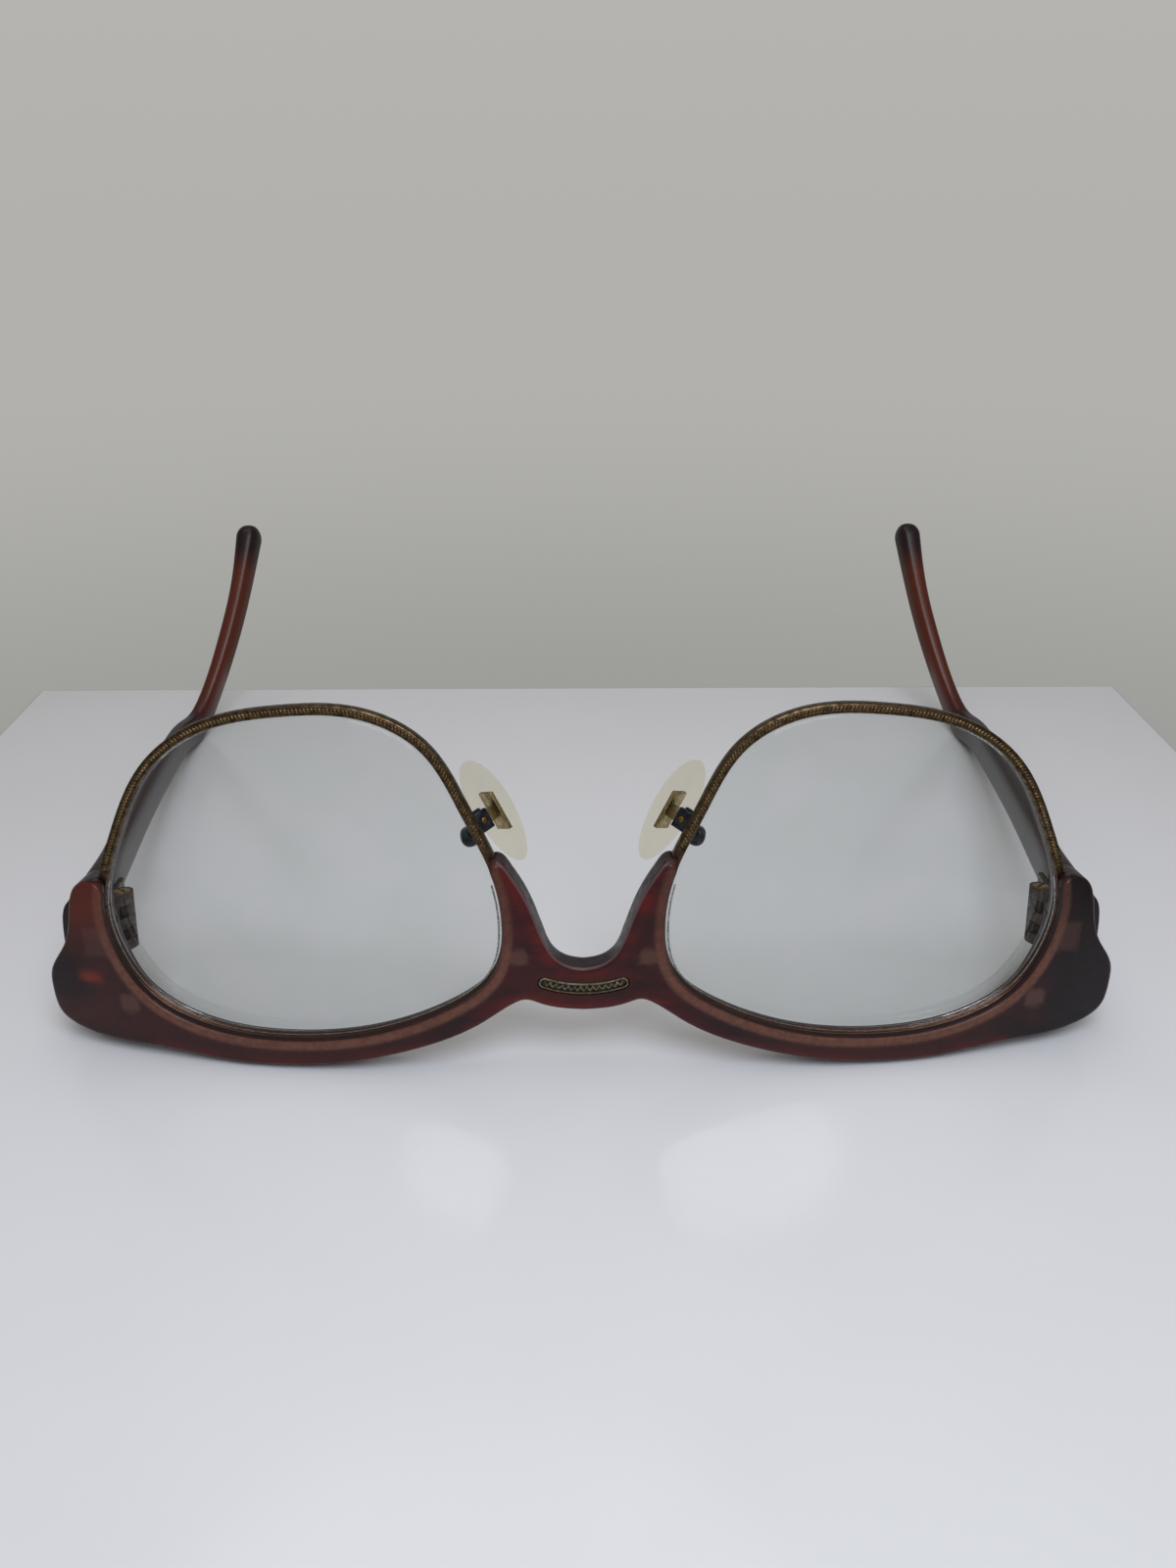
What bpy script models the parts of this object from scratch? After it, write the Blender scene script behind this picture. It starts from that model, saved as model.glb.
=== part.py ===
"""Half rim eyeglasses: a plastic brow over full metal eyewires, plastic temples and screw-on pads.

The glasses stand upside down and open, as they are laid on a table: the brow and the temple
bends rest on z = 0, the lenses are above, and the front faces -Y. The wearer's right side is +X.

Places on the front are given as (x, v) on its face, x across and v up the leaned face, with the
depth n behind it. The face itself is a shallow bowl, so n = face_depth(x, v) is its front skin.
"""
import math

import bmesh
import bpy
import numpy as np
from mathutils import Matrix, Vector
from mathutils.geometry import delaunay_2d_cdt

MM = 0.001

# Front: lens box, bridge and lean
LENS_WIDTH = 49.6 * MM          # opening of one eyewire, across
LENS_HEIGHT = 41.7 * MM         # opening of one eyewire, up
BRIDGE_WIDTH = 20.2 * MM        # between the two openings
BROW_DEPTH = 3.75 * MM          # brow below the lens at its lowest point
LEAN = math.radians(11.0)       # the front leans back from the vertical
FACE_RADIUS = 131.0 * MM        # base curve of the lenses and the brow
FACE_WRAP = math.radians(4.5)   # each half of the front turns back from the bridge
WRAP_START = 12.0 * MM          # the bridge blends the two halves inside this distance
BOWL_FORWARD = 2.0 * MM         # middle of each lens before the front plane

# Brow moulding
BROW_THICK = 4.1 * MM
END_THICK = 5.2 * MM            # thicker where the hinge is set in
LIP_REVEAL = 0.15 * MM          # brow's inner edge stands this far outside the eyewire's
FRONT_ROUND = 0.45 * MM
REAR_ROUND = 0.75 * MM
NOSE_SPLAY = 0.35 * MM          # the flanks' rear edges stand closer to the nose
NASAL_TIP = 27.9 * MM           # height on the lens edge where each flank ends
TEMPORAL_TIP = 24.0 * MM        # height on the lens edge where each endpiece ends
BRIDGE_TOP = 13.1 * MM
BRIDGE_LOW = 7.2 * MM
END_REACH = 9.05 * MM           # endpiece beyond the lens opening

# Eyewire and lens
RIM_WIDTH = 1.25 * MM
RIM_DEPTH = 1.6 * MM
RIM_SETBACK = 1.3 * MM          # eyewire's front behind the brow's face
RIM_CORNER = 0.25 * MM
GROOVE_DEEP = 0.45 * MM
GROOVE_WIDE = 0.9 * MM
RIM_GAP = 0.3 * MM              # the split that the rim lock closes
LENS_THICK = 1.5 * MM
LENS_CLEAR = 0.2 * MM           # between the lens's edge and the eyewire

# Clearances
FIT = 0.1 * MM                  # around a piece seated in a pocket
SOLDER = 0.05 * MM              # between two pieces soldered together
BUTT_GAP = 0.2 * MM             # between the brow and the end of a temple
PAST = 1.0 * MM                 # a cutter runs this far past what it cuts
BITE = 0.6 * MM                 # and this far into a groove that it opens into
SHY = 0.01 * MM                 # keeps two cuts off the same plane
DRIVER_WIDE = 0.25 * MM         # slot across every screw's head
DRIVER_DEEP = 0.22 * MM

# Lugs, rim lock and their screws
LUG_THICK = 1.4 * MM
NASAL_LUG = (1.9 * MM, 2.4 * MM, 15.2 * MM)      # out from the eyewire, along it, height of it
TEMPORAL_LUG = (3.0 * MM, 2.6 * MM, 9.0 * MM)
LUG_SCREW = 0.45 * MM           # radius of the shank
LUG_SCREW_HEAD = 0.9 * MM
HEAD_DEEP = 0.5 * MM
LOCK_WIDE = 1.5 * MM
LOCK_LONG = 1.3 * MM            # each half, along the eyewire
LOCK_DEEP = 2.0 * MM
LOCK_SCREW = 0.4 * MM

# Hinge
PIN_OUT = 0.7 * MM              # pin axis beyond the lens opening
PIN_BEHIND = 3.33 * MM          # pin axis behind the endpiece
HINGE_HEIGHT = 15.4 * MM        # middle of the knuckles
KNUCKLES = 5
KNUCKLE_HIGH = 1.48 * MM
KNUCKLE_GAP = 0.1 * MM
KNUCKLE_RADIUS = 1.4 * MM
PIN_RADIUS = 0.65 * MM
PIN_HEAD = 1.1 * MM
PIN_HEAD_DEEP = 0.5 * MM
ARM_IN = 0.35 * MM              # the front's hinge arms, out from the lens opening: inner side
ARM_OUT = 2.75 * MM             # and outer side
PLATE_THICK = 0.9 * MM
PLATE_WIDE = 4.6 * MM
PLATE_HIGH = 5.0 * MM
PLATE_CORNER = 0.6 * MM
BEAM_THICK = 0.9 * MM           # bar behind the brow that carries the front's knuckles
LEAF_THICK = 0.8 * MM
LEAF_LONG = 8.6 * MM
LEAF_HIGH = 5.6 * MM
LEAF_GAP = 0.2 * MM             # between the leaf and the temple's inner face
LEAF_AHEAD = 0.6 * MM           # the leaf starts this far before the pin axis
RIVET_RADIUS = 0.55 * MM
RIVET_DEEP = 0.9 * MM           # into the plastic

# Temples
TEMPLE_REACH = 102.0 * MM       # from the front plane to the bend
TEMPLE_THICK = 3.2 * MM
TEMPLE_HIGH = 6.0 * MM
BUTT_THICK = 5.9 * MM
BUTT_HIGH = 10.8 * MM
TEMPLE_STEPS = 27               # sections along a temple
TIP_LONG = 39.6 * MM            # ear tip, from the bend to its end
TIP_RISE = math.radians(49.0)   # the ear tip climbs from the surface
TIP_THICK = 3.4 * MM
TIP_HIGH = 5.6 * MM
CORE_WIDE = 1.7 * MM
CORE_THICK = 0.8 * MM

# Nose pads
PAD_LONG = 14.6 * MM
PAD_WIDE = 7.4 * MM
PAD_THICK = 2.3 * MM
PAD_OUT = 11.0 * MM             # pad centre from the middle of the bridge
PAD_HEIGHT = 31.3 * MM
PAD_BACK = 8.6 * MM             # pad centre behind the face
PAD_TILT = math.radians(27.0)   # top of the pad leans away from the nose
PAD_SPLAY = math.radians(32.0)  # rear edge of the pad stands further out
PAD_CORE = (5.2 * MM, 3.2 * MM, 0.5 * MM)
ARM_RADIUS = 0.45 * MM
BOX_SIZE = (1.9 * MM, 2.2 * MM, 2.6 * MM)        # out from the pad, across, along
BOX_GAP = 0.35 * MM             # between the pad and its box, so that the pad can rock
TAB_THICK = 0.7 * MM
TAB_LONG = 1.7 * MM
TAB_PAST = 0.45 * MM            # tab beyond its screw's axis
PAD_SCREW = 0.4 * MM
PAD_SCREW_HEAD = (0.7 * MM, 0.4 * MM)
PAD_ARM_FOOT = 29.3 * MM        # height on the eyewire where the arm starts

# Inlay on the bridge
INLAY_LONG = 11.4 * MM
INLAY_WIDE = 1.65 * MM
INLAY_THICK = 0.45 * MM
INLAY_RADIUS = 13.6 * MM        # of the middle line, which sags towards the brow's lower edge
INLAY_HEIGHT = 10.3 * MM        # of the middle line at the centre

# Outline of a lens opening, in halves of its width and height, from the temple side round
# by the brow, the nose and the top.
EYE_SHAPE = [
    (1.000, -0.198), (0.964, -0.440), (0.810, -0.748), (0.540, -0.929), (0.125, -0.998),
    (-0.319, -0.948), (-0.714, -0.781), (-0.948, -0.560), (-1.000, -0.245), (-0.940, 0.112),
    (-0.819, 0.417), (-0.625, 0.802), (-0.335, 0.983), (0.044, 0.995), (0.448, 0.890),
    (0.714, 0.655), (0.899, 0.240),
]

EYE_IN = BRIDGE_WIDTH / 2
EYE_OUT = EYE_IN + LENS_WIDTH
EYE_LOW = BROW_DEPTH - 0.6 * MM
EYE_MIDDLE = (EYE_IN + LENS_WIDTH / 2, EYE_LOW + LENS_HEIGHT / 2)
RIM_REAR = RIM_SETBACK + RIM_DEPTH
PIN_X = EYE_OUT + PIN_OUT


# ---------------------------------------------------------------- curves

def natural_spline(points, count, closed=False):
    """Points at even steps along the cubic spline through the given ones."""
    p = np.array(points, float)
    if closed:
        p = np.vstack([p, p[:1]])
    steps = np.linalg.norm(np.diff(p, axis=0), axis=1)
    t = np.concatenate([[0.0], np.cumsum(steps)])
    n = len(p)
    a = np.zeros((n, n))
    b = np.zeros_like(p)
    for i in range(1, n - 1):
        h0, h1 = steps[i - 1], steps[i]
        a[i, i - 1:i + 2] = h0, 2 * (h0 + h1), h1
        b[i] = 6 * ((p[i + 1] - p[i]) / h1 - (p[i] - p[i - 1]) / h0)
    if closed:
        h0, h1 = steps[-1], steps[0]
        a[0, 0], a[0, 1], a[0, n - 2] = 2 * (h0 + h1), h1, h0
        b[0] = 6 * ((p[1] - p[0]) / h1 - (p[0] - p[-2]) / h0)
        a[n - 1, n - 1], a[n - 1, 0] = 1, -1
    else:
        a[0, 0] = a[n - 1, n - 1] = 1
    m = np.linalg.solve(a, b)
    fine = np.linspace(0, t[-1], 60 * n)
    curve = spline_at(fine, t, p, m)
    run = np.concatenate([[0.0], np.cumsum(np.linalg.norm(np.diff(curve, axis=0), axis=1))])
    wanted = np.linspace(0, run[-1], count + 1 if closed else count)
    if closed:
        wanted = wanted[:-1]
    even = np.interp(wanted, run, fine)
    return spline_at(even, t, p, m)


def spline_at(u, t, p, m):
    i = np.clip(np.searchsorted(t, u, side="right") - 1, 0, len(t) - 2)
    h = (t[i + 1] - t[i])[:, None]
    lo, hi = (t[i + 1] - u)[:, None], (u - t[i])[:, None]
    return ((m[i] * lo ** 3 + m[i + 1] * hi ** 3) / (6 * h)
            + (p[i] / h - m[i] * h / 6) * lo + (p[i + 1] / h - m[i + 1] * h / 6) * hi)


def smooth_step(value, start, end):
    t = min(max((value - start) / (end - start), 0.0), 1.0)
    return t * t * (3 - 2 * t)


def offset_loop(loop, distance):
    """The closed loop moved outwards by the distance, or inwards where it is negative."""
    p = np.array(loop)
    ahead, behind = np.roll(p, -1, axis=0), np.roll(p, 1, axis=0)
    area = np.sum(p[:, 0] * ahead[:, 1] - p[:, 1] * ahead[:, 0]) / 2
    e0, e1 = p - behind, ahead - p
    n0 = np.stack([e0[:, 1], -e0[:, 0]], 1) / np.linalg.norm(e0, axis=1)[:, None]
    n1 = np.stack([e1[:, 1], -e1[:, 0]], 1) / np.linalg.norm(e1, axis=1)[:, None]
    n = n0 + n1
    n /= np.maximum(np.sum(n * n, axis=1) / 2, 0.6)[:, None]
    return p + n * distance * math.copysign(1, area)


# ---------------------------------------------------------------- the front's own frame

def face_depth(x, v):
    """Depth of the face: each half is part of a sphere, and the bridge blends the halves."""
    middle_x, middle_v = EYE_MIDDLE

    def eye(across):
        out = across - middle_x
        bowl = (out ** 2 + (v - middle_v) ** 2) / (2 * FACE_RADIUS)
        return bowl + out * math.tan(FACE_WRAP) - BOWL_FORWARD

    across = abs(x)
    if across >= WRAP_START:
        return eye(across)
    slope = (WRAP_START - middle_x) / FACE_RADIUS + math.tan(FACE_WRAP)
    return eye(WRAP_START) - slope * (WRAP_START ** 2 - across ** 2) / (2 * WRAP_START)


def brow_thick(x):
    return BROW_THICK + (END_THICK - BROW_THICK) * smooth_step(abs(x), EYE_OUT - 4 * MM, EYE_OUT + 2 * MM)


def lean(x, n, v):
    """World place of a point of the front, from its own frame."""
    return Vector((x, v * math.sin(LEAN) + n * math.cos(LEAN), v * math.cos(LEAN) - n * math.sin(LEAN)))


def on_face(x, v, depth):
    """World place of a point this far behind the face."""
    return lean(x, face_depth(x, v) + depth, v)


LEAN_UP = lean(0, 0, 1)
PIN_BACK = face_depth(PIN_X, HINGE_HEIGHT) + END_THICK + PIN_BEHIND


# ---------------------------------------------------------------- meshes

def skin(rings, closed=False):
    """Join rings of equal count with quads; the ends are capped unless the rings close on themselves."""
    bm = bmesh.new()
    rows = [[bm.verts.new(p) for p in ring] for ring in rings]
    pairs = list(zip(rows, rows[1:]))
    if closed:
        pairs.append((rows[-1], rows[0]))
    for low, high in pairs:
        for i in range(len(low)):
            j = (i + 1) % len(low)
            bm.faces.new((low[i], low[j], high[j], high[i]))
    if not closed:
        bm.faces.new(list(reversed(rows[0])))
        bm.faces.new(rows[-1])
    return face_out(bm)


def face_out(bm):
    bmesh.ops.recalc_face_normals(bm, faces=bm.faces)
    if bm.calc_volume(signed=True) < 0:
        bmesh.ops.reverse_faces(bm, faces=bm.faces)
    return bm


def fill_loop(points):
    """Triangles that fill a flat closed loop, as index triples."""
    count = len(points)
    edges = [(i, (i + 1) % count) for i in range(count)]
    found = delaunay_2d_cdt([Vector(p) for p in points], edges, [], 1, 1e-9)
    origin = [source[0] for source in found[3]]
    return [[origin[i] for i in face] for face in found[2]]


def slab(layers):
    """Closed solid through loops of (x, v) at given depths behind the face, first to last."""
    bm = bmesh.new()
    rows = []
    for loop, depth in layers:
        rows.append([bm.verts.new(on_face(x, v, depth(x) if callable(depth) else depth)) for x, v in loop])
    for low, high in zip(rows, rows[1:]):
        for i in range(len(low)):
            j = (i + 1) % len(low)
            bm.faces.new((low[i], low[j], high[j], high[i]))
    for row, layer in ((rows[0], layers[0]), (rows[-1], layers[-1])):
        for triple in fill_loop([tuple(p) for p in layer[0]]):
            bm.faces.new([row[i] for i in triple])
    return face_out(bm)


def prism(profile, low, high):
    """Profile of (x, n) drawn straight up the front's height from low to high."""
    return skin([[lean(x, n, v) for x, n in profile] for v in (low, high)])


def rod(start, end, radius, sides=16, head=None):
    """Round bar between two places; head is (radius, length) of a wider end at the start."""
    start, end = Vector(start), Vector(end)
    along = (end - start).normalized()
    across = along.orthogonal().normalized()
    other = along.cross(across)
    stations = [(0.0, radius), ((end - start).length, radius)]
    if head:
        stations = [(0.0, head[0]), (head[1], head[0]), (head[1], radius), stations[-1]]
    rings = []
    for run, r in stations:
        turn = [2 * math.pi * i / sides for i in range(sides)]
        rings.append([start + along * run + (across * math.cos(a) + other * math.sin(a)) * r for a in turn])
    return skin(rings)


def block(centre, axes, size):
    """Box about a centre, with its sides along three directions."""
    signs = [(-1, -1), (1, -1), (1, 1), (-1, 1)]
    a, b, c = (Vector(axis) * length / 2 for axis, length in zip(axes, size))
    return skin([[Vector(centre) + a * i + b * j + c * k for i, j in signs] for k in (-1, 1)])


def tube(path, radius, sides=8):
    """Round wire along a path, with flat ends."""
    path = [Vector(p) for p in path]
    side = (path[1] - path[0]).orthogonal().normalized()
    rings = []
    for i, place in enumerate(path):
        ahead = (path[min(i + 1, len(path) - 1)] - path[max(i - 1, 0)]).normalized()
        side = (side - ahead * side.dot(ahead)).normalized()
        other = ahead.cross(side)
        turn = [2 * math.pi * k / sides for k in range(sides)]
        rings.append([place + (side * math.cos(a) + other * math.sin(a)) * radius for a in turn])
    return skin(rings)


def mirrored(bm):
    """Copy of a shape on the other side of the bridge."""
    other = bm.copy()
    bmesh.ops.scale(other, vec=(-1, 1, 1), verts=other.verts)
    bmesh.ops.reverse_faces(other, faces=other.faces)
    return other


def combine(body, tools, operation="DIFFERENCE"):
    """Cut the tools out of the body, or weld them to it, one after the other."""
    body_object = plain_object("body", body)
    for tool in tools:
        tool_object = plain_object("tool", tool)
        change = body_object.modifiers.new("shape", "BOOLEAN")
        change.operation = operation
        change.solver = "EXACT"
        change.object = tool_object
        graph = bpy.context.evaluated_depsgraph_get()
        finished = bpy.data.meshes.new_from_object(body_object.evaluated_get(graph))
        body_object.modifiers.clear()
        body_object.data = finished
        bpy.data.objects.remove(tool_object)
    result = bmesh.new()
    result.from_mesh(body_object.data)
    bpy.data.objects.remove(body_object)
    bmesh.ops.remove_doubles(result, verts=result.verts, dist=0.001 * MM)
    bmesh.ops.dissolve_degenerate(result, edges=result.edges, dist=0.001 * MM)
    return result


def plain_object(name, bm):
    mesh = bpy.data.meshes.new(name)
    bm.to_mesh(mesh)
    made = bpy.data.objects.new(name, mesh)
    bpy.context.scene.collection.objects.link(made)
    return made


# ---------------------------------------------------------------- materials and placing

MATERIALS = {
    "brow_plastic": ((0.085, 0.018, 0.018, 1), 0.42, 0.0),
    "temple_plastic": ((0.150, 0.038, 0.020, 1), 0.38, 0.0),
    "antique_metal": ((0.210, 0.165, 0.095, 1), 0.40, 1.0),
    "dark_metal": ((0.060, 0.062, 0.070, 1), 0.42, 1.0),
    "hinge_steel": ((0.360, 0.330, 0.280, 1), 0.35, 1.0),
    "screw_gold": ((0.620, 0.430, 0.200, 1), 0.30, 1.0),
    "lens_clear": ((0.900, 0.930, 0.930, 1), 0.03, 0.0),
    "pad_clear": ((0.850, 0.830, 0.640, 1), 0.12, 0.0),
}


def material(name):
    found = bpy.data.materials.get(name)
    if found:
        return found
    colour, roughness, metallic = MATERIALS[name]
    made = bpy.data.materials.new(name)
    made.use_nodes = True
    shader = made.node_tree.nodes["Principled BSDF"]
    shader.inputs["Base Color"].default_value = colour
    shader.inputs["Roughness"].default_value = roughness
    shader.inputs["Metallic"].default_value = metallic
    return made


def add_piece(name, bm, finish, parent):
    """Put a finished shape in the scene, riding on an empty that is already in place."""
    bmesh.ops.recalc_face_normals(bm, faces=bm.faces)
    piece = plain_object(name, bm)
    piece.data.name = name
    piece.data.materials.append(material(finish))
    piece.data.shade_smooth()
    piece.data.set_sharp_from_angle(angle=math.radians(35))
    piece.parent = parent
    piece.matrix_parent_inverse = parent.matrix_world.inverted()
    bm.free()
    return piece


def add_pair(name, build, finish, parents):
    """The same piece on both sides: as built on the wearer's right, and mirrored on the left."""
    shape = build()
    add_piece(name + "_left", mirrored(shape), finish, parents[0])
    add_piece(name + "_right", shape, finish, parents[1])


def add_pivot(name, place, axis, parent=None):
    """Empty on a joint's axis, with its own Z along the axis."""
    pivot = bpy.data.objects.new(name, None)
    pivot.empty_display_size = 4 * MM
    bpy.context.scene.collection.objects.link(pivot)
    pivot.parent = parent
    turn = Vector(axis).to_track_quat("Z", "Y").to_matrix().to_4x4()
    pivot.matrix_world = Matrix.Translation(place) @ turn
    bpy.context.view_layer.update()
    return pivot


# ---------------------------------------------------------------- eyewire and lens

def eye_curve(count, outward=0.0):
    """Loop of the lens opening, moved outwards, as (x, v)."""
    shape = [(EYE_MIDDLE[0] + a * LENS_WIDTH / 2, EYE_MIDDLE[1] + b * LENS_HEIGHT / 2) for a, b in EYE_SHAPE]
    loop = natural_spline(shape, count, closed=True)
    return offset_loop(loop, outward) if outward else loop


EYE_FINE = eye_curve(720)


def eye_frame(height, temporal):
    """Place, outward direction and direction along the eyewire at a height on one of its sides."""
    near = EYE_FINE[:, 0] > EYE_MIDDLE[0] if temporal else EYE_FINE[:, 0] < EYE_MIDDLE[0]
    gap = np.where(near, np.abs(EYE_FINE[:, 1] - height), 1.0)
    i = int(np.argmin(gap))
    along = EYE_FINE[(i + 1) % len(EYE_FINE)] - EYE_FINE[i - 1]
    along /= np.linalg.norm(along)
    out = np.array([-along[1], along[0]])
    if np.dot(out, EYE_FINE[i] - np.array(EYE_MIDDLE)) < 0:
        out = -out
    return EYE_FINE[i], out, along


def patch(frame, out_from, out_to, along_from, along_to):
    """Four corners of a patch beside the eyewire, as (x, v)."""
    place, out, along = frame
    corners = [(out_from, along_from), (out_to, along_from), (out_to, along_to), (out_from, along_to)]
    return [tuple(place + out * a + along * b) for a, b in corners]


def eyewire():
    """Grooved wire round the lens, split on the temple side where the rim lock closes it."""
    segments = 60
    loop = natural_spline([tuple(p) for p in EYE_FINE[::6]], 720, closed=True)
    steps = np.linalg.norm(np.diff(np.vstack([loop, loop[:1]]), axis=0), axis=1)
    run = np.concatenate([[0.0], np.cumsum(steps)])
    whole = np.vstack([loop, loop[:1]])
    wanted = np.linspace(RIM_GAP / 2, run[-1] - RIM_GAP / 2, segments + 1)
    path = np.stack([np.interp(wanted, run, whole[:, k]) for k in (0, 1)], 1)
    ahead = np.stack([np.interp(np.minimum(wanted + 0.2 * MM, run[-1]), run, whole[:, k]) for k in (0, 1)], 1)
    behind = np.stack([np.interp(np.maximum(wanted - 0.2 * MM, 0), run, whole[:, k]) for k in (0, 1)], 1)
    middle = RIM_SETBACK + RIM_DEPTH / 2
    corner = RIM_CORNER
    profile = [
        (0.0, RIM_SETBACK + corner), (corner, RIM_SETBACK), (RIM_WIDTH - corner, RIM_SETBACK),
        (RIM_WIDTH, RIM_SETBACK + corner), (RIM_WIDTH, RIM_REAR - corner), (RIM_WIDTH - corner, RIM_REAR),
        (corner, RIM_REAR), (0.0, RIM_REAR - corner / 2), (0.0, middle + GROOVE_WIDE / 2),
        (GROOVE_DEEP, middle), (0.0, middle - GROOVE_WIDE / 2),
    ]
    rings = []
    for place, a, b in zip(path, ahead, behind):
        along = (a - b) / np.linalg.norm(a - b)
        out = np.array([-along[1], along[0]])
        if np.dot(out, place - np.array(EYE_MIDDLE)) < 0:
            out = -out
        rings.append([on_face(*(place + out * r), depth) for r, depth in profile])
    return skin(rings)


def lens():
    """Curved demo lens whose bevelled edge seats in the eyewire's groove."""
    count = 60
    middle = RIM_SETBACK + RIM_DEPTH / 2
    front, rear = middle - LENS_THICK / 2, middle + LENS_THICK / 2
    edge = eye_curve(count, -LENS_CLEAR)
    apex = eye_curve(count, GROOVE_DEEP - LENS_CLEAR)
    centre = np.array(EYE_MIDDLE)
    bm = bmesh.new()
    rows = []
    bevel = GROOVE_WIDE / 2
    layers = ((front, (0.35, 0.7, 1.0)), (middle - bevel, (1.0,)), (middle, (None,)),
              (middle + bevel, (1.0,)), (rear, (1.0, 0.7, 0.35)))
    for depth, order in layers:
        for scale in order:
            loop = apex if scale is None else centre + (edge - centre) * scale
            rows.append([bm.verts.new(on_face(x, v, depth)) for x, v in loop])
    for low, high in zip(rows, rows[1:]):
        for i in range(count):
            j = (i + 1) % count
            bm.faces.new((low[i], low[j], high[j], high[i]))
    for row, depth in ((rows[0], front), (rows[-1], rear)):
        hub = bm.verts.new(on_face(*EYE_MIDDLE, depth))
        for i in range(count):
            bm.faces.new((row[i], row[(i + 1) % count], hub))
    return face_out(bm)


# ---------------------------------------------------------------- brow

def brow_half():
    """Right half of the brow's outline, bridge top to bridge bottom, and how many points are the nose's."""
    tip_nose = eye_frame(NASAL_TIP, False)[0]
    nose = [
        (0.0, BRIDGE_TOP), (EYE_IN * 0.17, BRIDGE_TOP + 0.3 * MM), (EYE_IN * 0.34, BRIDGE_TOP + 1.3 * MM),
        (EYE_IN * 0.46, BRIDGE_TOP + 3.0 * MM), (EYE_IN - 4.0 * MM, NASAL_TIP - 8.0 * MM),
        (EYE_IN - 2.0 * MM, NASAL_TIP - 3.6 * MM),
        (tip_nose[0] - 2.5 * MM, NASAL_TIP - 0.9 * MM), (tip_nose[0] - 1.9 * MM, NASAL_TIP - 0.05 * MM),
        (tip_nose[0] - 0.9 * MM, NASAL_TIP + 0.2 * MM),
    ]
    nose_run = natural_spline(nose, 22)
    inner = eye_curve(132, LIP_REVEAL)
    tip_temple = eye_frame(TEMPORAL_TIP, True)[0]
    keep = [p for p in inner if p[1] < (NASAL_TIP - 0.25 * MM if p[0] < EYE_MIDDLE[0] else TEMPORAL_TIP)]
    keep.sort(key=lambda p: math.atan2(p[0] - EYE_MIDDLE[0], EYE_MIDDLE[1] + 20 * MM - p[1]))
    inner_run = np.array(keep)[::2]
    out = EYE_OUT + END_REACH
    low = EYE_LOW - BROW_DEPTH

    def under(share, height):
        return (EYE_IN + share * LENS_WIDTH, low + height * MM)

    edge = [
        (tip_temple[0] + 1.7 * MM, TEMPORAL_TIP - 0.2 * MM), (out - 5.3 * MM, TEMPORAL_TIP - 1.3 * MM),
        (out - 4.3 * MM, TEMPORAL_TIP - 3.6 * MM), (out - 3.6 * MM, 16.8 * MM), (out - 2.5 * MM, 14.1 * MM),
        (out - 1.1 * MM, 12.1 * MM), (out - 0.15 * MM, 10.2 * MM), (out, 7.7 * MM),
        (out - 0.6 * MM, 4.4 * MM), (out - 3.8 * MM, 2.2 * MM),
        under(0.893, 1.4), under(0.698, 0.15), under(0.558, 0.0), under(0.421, 0.5), under(0.234, 2.5),
        under(0.048, 6.4), (EYE_IN - 1.5 * MM, BRIDGE_LOW + 1.15 * MM),
        (EYE_IN - 2.9 * MM, BRIDGE_LOW + 1.6 * MM), (EYE_IN - 4.2 * MM, BRIDGE_LOW + 1.15 * MM),
        (EYE_IN * 0.34, BRIDGE_LOW + 0.35 * MM), (0.0, BRIDGE_LOW),
    ]
    edge_run = natural_spline(edge, 48)
    return np.vstack([nose_run, inner_run, edge_run]), len(nose_run)


def brow_loops():
    """Closed outline of the whole brow, and how far each point's rear moves towards the nose."""
    half, nose_count = brow_half()
    splay = [NOSE_SPLAY * smooth_step(v, BRIDGE_TOP + MM, BRIDGE_TOP + 5 * MM) if i < nose_count else 0.0
             for i, (x, v) in enumerate(half)]
    left = half[::-1][1:-1] * np.array([-1, 1])
    outline = np.vstack([half, left])
    shift = np.array([-s for s in splay] + splay[::-1][1:-1])
    return outline, shift


def brow_shape():
    outline, shift = brow_loops()

    def layer(inset, share):
        loop = offset_loop(outline, -inset)
        loop[:, 0] += shift * share
        return loop

    shares = [0.0, 0.1, 0.82, 1.0]
    return slab([
        (layer(FRONT_ROUND, shares[0]), 0.0),
        (layer(0.0, shares[1]), FRONT_ROUND),
        (layer(0.0, shares[2]), lambda x: brow_thick(x) - REAR_ROUND),
        (layer(REAR_ROUND, shares[3]), brow_thick),
    ])


def rim_channel():
    """Groove in the brow's inner edge that the eyewire lies in."""
    rings = []
    count = 72
    inside = eye_curve(count, -PAST)
    outside = eye_curve(count, RIM_WIDTH + FIT)
    for a, b in zip(inside, outside):
        rings.append([on_face(*a, RIM_SETBACK - FIT), on_face(*b, RIM_SETBACK - FIT),
                      on_face(*b, RIM_REAR + FIT), on_face(*a, RIM_REAR + FIT)])
    return skin(rings, closed=True)


def lug_place(lug, temporal):
    """Frame of a lug on the eyewire, and the (x, v) of its screw."""
    frame = eye_frame(lug[2], temporal)
    screw = frame[0] + frame[1] * (RIM_WIDTH + SOLDER + lug[0] * 0.55)
    return frame, screw


def lug(size, temporal):
    """Small plate soldered to the eyewire's outer side and tapped for the brow's screw."""
    frame, screw = lug_place(size, temporal)
    outline = patch(frame, RIM_WIDTH + SOLDER, RIM_WIDTH + SOLDER + size[0], -size[1] / 2, size[1] / 2)
    front = RIM_SETBACK + FIT
    plate = slab([(outline, front), (outline, front + LUG_THICK)])
    hole = rod(on_face(*screw, front - PAST), on_face(*screw, front + LUG_THICK + PAST), LUG_SCREW + SOLDER)
    return combine(plate, [hole])


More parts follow.
